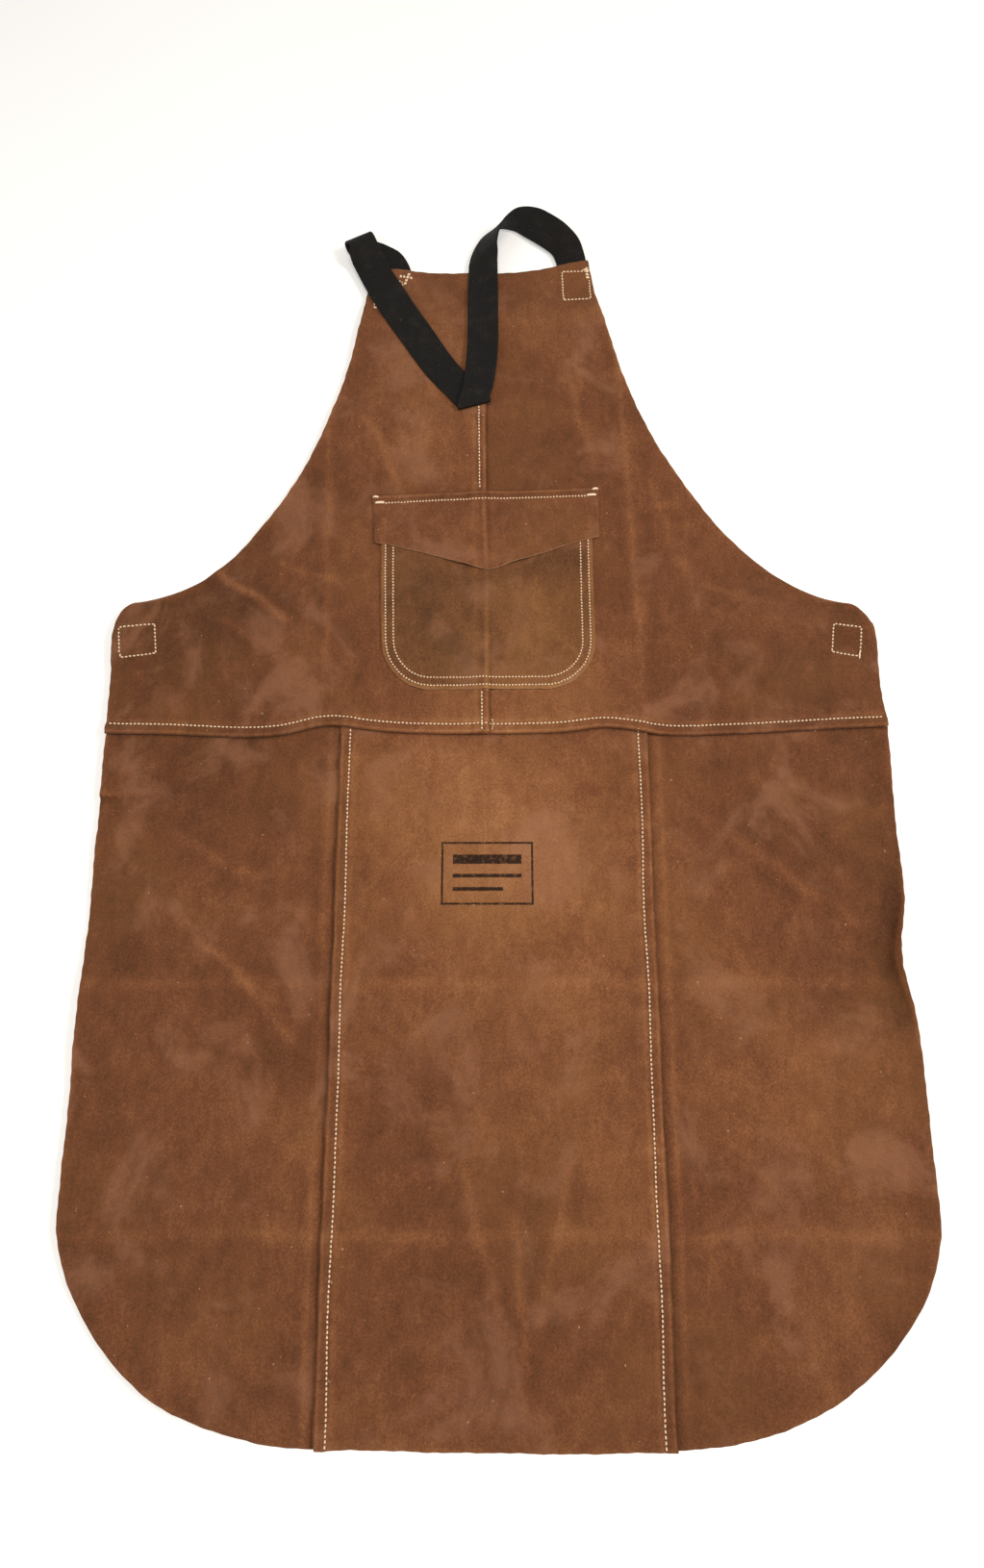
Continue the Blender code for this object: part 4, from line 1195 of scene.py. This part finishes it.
def moulded(name):
    """Black acetal with a fine eroded texture, rubbed smoother and paler on its corners."""
    s = Shader(name)
    grain = s.noise(1800, 3, 0.6)
    wide = s.noise(90, 3, 0.5)
    edge = s.add("ShaderNodeNewGeometry").outputs["Pointiness"]
    rubbed = s.ramp(edge, 0.52, 0.60)
    shade = s.weighted((grain, 0.30, 0.5), (wide, 0.35, 0.5), (rubbed, 0.45, 0.0))
    colour = s.colours(shade, [(0.1, srgb(16, 16, 17)), (0.55, srgb(27, 27, 28)), (1.0, srgb(70, 68, 66))])
    return s.finish(colour, grain, 0.00008, 0.7, Roughness=0.46, Specular_IOR_Level=0.45)


def pale_floor(name):
    s = Shader(name)
    shade = s.colours(s.noise(3.0, 3, 0.5), [(0.3, (0.90, 0.90, 0.90, 1)), (0.7, (0.93, 0.93, 0.92, 1))])
    return s.finish(shade, Roughness=0.85, Specular_IOR_Level=0.1, Emission_Color=(1.0, 1.0, 1.0, 1.0),
                    Emission_Strength=0.24)


SUEDE = suede("suede", ((0.08, (60, 34, 21)), (0.34, (92, 55, 33)), (0.52, (114, 69, 43)),
                        (0.70, (138, 89, 56)), (0.95, (168, 117, 78))), marked=True)
SUEDE_POCKET = suede("pocket_suede", ((0.08, (58, 36, 22)), (0.34, (90, 56, 34)), (0.52, (114, 73, 44)),
                                      (0.70, (140, 94, 56)), (0.95, (168, 121, 78))), grime=0.04)
WEBBING = woven("black_webbing")
THREAD = spun("cream_thread")
PLASTIC = moulded("black_acetal")


def pocket_and_flap_wear_and_shade():
    """The lighter rims of the pocket and the flap, the seam that shows through, the ochre stain, and painted
    shade in the groove above the flap's top edge.
    """
    x = 2 * (PX - POCKET_X) - pocket_taper(PX - POCKET_X, PY)
    in_pocket = (PY < POCKET_MOUTH) & (PY > 0.03)
    corner = np.hypot(np.clip(np.abs(x) - POCKET_HALF + POCKET_RADIUS, 0, None),
                      np.clip(POCKET_BOTTOM + POCKET_RADIUS - PY, 0, None))
    inset = np.minimum(POCKET_RADIUS - corner, np.minimum(POCKET_HALF - np.abs(x), PY - POCKET_BOTTOM))
    wear_and_painted_shade = 0.26 * bump(inset - 0.0010, 0.0013) * in_pocket
    broken = 0.6 + 0.4 * waves(PY, (0.013, 0.031), 92)
    wear_and_painted_shade += 0.12 * bump(PX - bib_seam(PY), 0.0030) * broken * smooth((0.110 - PY) / 0.06) * (PY > 0.034)
    wear_and_painted_shade += 0.10 * spot(0.037, 0.020, 0.095, 0.034)
    u, v = flap_local(PX, PY)
    on_flap = np.abs(u) < FLAP_HALF[0]
    wear_and_painted_shade += on_flap * (0.20 * bump(v + FLAP_BAND - 0.0009, 0.0008) - 0.09 * bump(v + 0.0030, 0.0016))
    # Painted shade: a dark line on the bib just above the flap's top edge.
    wear_and_painted_shade -= 0.14 * on_flap * bump(v + FLAP_BAND + 0.0012, 0.0010)
    return wear_and_painted_shade


# Soft patches as (weight, x, width, y, height): a painted pool of light on the skirt's middle, lighter and
# darker patches, painted shade beside two vertical folds; and soot
LIGHT_SHADE_AND_TONE_PATCHES = (
    (0.20, 0.005, 0.105, -0.085, 0.115), (0.07, 0.060, 0.120, -0.200, 0.100),
    (0.05, -0.160, 0.080, -0.040, 0.060), (0.06, 0.210, 0.075, -0.270, 0.120),
    (0.05, -0.230, 0.080, -0.300, 0.090), (0.06, -0.010, 0.060, 0.070, 0.080),
    (-0.15, -0.215, 0.095, 0.060, 0.110), (-0.09, -0.210, 0.085, -0.070, 0.080),
    (-0.10, 0.215, 0.090, -0.050, 0.080), (-0.03, -0.010, 0.120, 0.150, 0.090),
    (0.07, 0.065, 0.040, 0.330, 0.080), (-0.06, -0.141, 0.0025, 0.060, 0.055),
    (-0.05, 0.126, 0.0050, 0.150, 0.120))
SOOT = ((0.55, -0.058, 0.034, 0.105, 0.040), (0.40, -0.030, 0.030, 0.066, 0.024),
        (0.30, 0.215, 0.030, 0.050, 0.020), (0.22, 0.180, 0.018, 0.072, 0.016))


def make_tones():
    """Where the leather is lighter, worn or sooty, and where light and shade are painted on it, as rasters.
    """
    # Ridges of the relief lighter, as wear, and its hollows darker: painted shade in the creases.
    wear_and_painted_shade = np.clip((RELIEF - blur(RELIEF, 0.004)) / 0.00035, -1.0, 1.4)
    # The first patch is a painted pool of light, the last two are painted shade on one side of a vertical
    # fold.
    shade = sum(weight * spot(*place) for weight, *place in LIGHT_SHADE_AND_TONE_PATCHES)
    # Darker towards both sides.
    shade -= 0.05 * smooth((np.abs(PX) - 0.20) / 0.10)
    left, right = SKIRT_SEAMS
    below, above = PY < 0.0, PY > 0.0
    for inside in ((PX - left) * 1e3 + 1e6 * above, (right - PX) * 1e3 + 1e6 * above,
                   (PY - waist_wave(PX)) * 1e3, (bib_seam(PY) - PX) * 1e3 + 1e6 * below):
        # Along each folded edge: a light worn line on the fold and a lighter band further in, a darker strip
        # between, and painted shade in the groove just outside the fold.
        shade += 0.22 * bump(inside - 0.8, 0.8) + 0.09 * bump(inside - 9.5, 2.4)
        shade -= 0.04 * bump(inside - 3.6, 1.6) + 0.18 * bump(inside + 1.3, 1.2)
    for y, _ in FOLD_LINES:
        shade += 0.05 * bump(PY - y, 0.0035) * (0.6 + 0.4 * waves(PX, (0.05, 0.11), 91))
    shade += pocket_and_flap_wear_and_shade()
    soot = sum(weight * spot(*place) for weight, *place in SOOT)
    return {"wear_and_painted_shade": wear_and_painted_shade, "shade": shade, "soot": np.clip(soot, 0, 1)}


TONES = make_tones()


# ---- Assembly

def dress_buckle(name):
    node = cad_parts[name]
    for slot in node.material_slots:
        slot.link = "OBJECT"
        slot.material = PLASTIC


def area_light(name, place, target, size, energy, colour):
    light = bpy.data.lights.new(name, "AREA")
    light.shape = "DISK"
    light.size = size
    light.energy = energy
    light.color = colour
    thing = link(name, light)
    thing.location = place
    thing.rotation_euler = (Vector(target) - Vector(place)).to_track_quat("-Z", "Y").to_euler()


def studio():
    bpy.ops.mesh.primitive_plane_add(size=14.0, location=(0, 0, FLOOR_Z))
    floor = bpy.context.object
    floor.name = "studio_floor"
    floor.data.materials.append(pale_floor("pale_floor"))
    for light in LIGHTS:
        area_light(*light)
    world = bpy.data.worlds.new("studio_air")
    world.use_nodes = True
    air = world.node_tree.nodes["Background"].inputs
    air["Color"].default_value = AIR_COLOUR
    air["Strength"].default_value = AIR_STRENGTH
    bpy.context.scene.world = world
    bpy.context.scene.view_settings.view_transform = "Standard"


def camera():
    lens = bpy.data.cameras.new("camera")
    lens.lens = FOCAL_LENGTH
    lens.sensor_fit = "VERTICAL"
    lens.sensor_height = 36
    lens.clip_start = 0.02
    view = link("camera", lens)
    view.location = CAMERA_PLACE
    view.rotation_euler = [math.radians(value) for value in CAMERA_TURN]
    bpy.context.scene.camera = view


camera()
studio()
skirt_side(-1)
skirt_side(1)
skirt_centre()
bib_side(1)
bib_side(-1)
pocket_patch()
pocket_flap()
neck_strap()
for side, tail in STRAP_TAILS.items():
    waist_strap(side, tail)
seam_stitching()
pocket_stitching()
box_stitching()
dress_buckle("buckle_socket")
dress_buckle("buckle_plug")
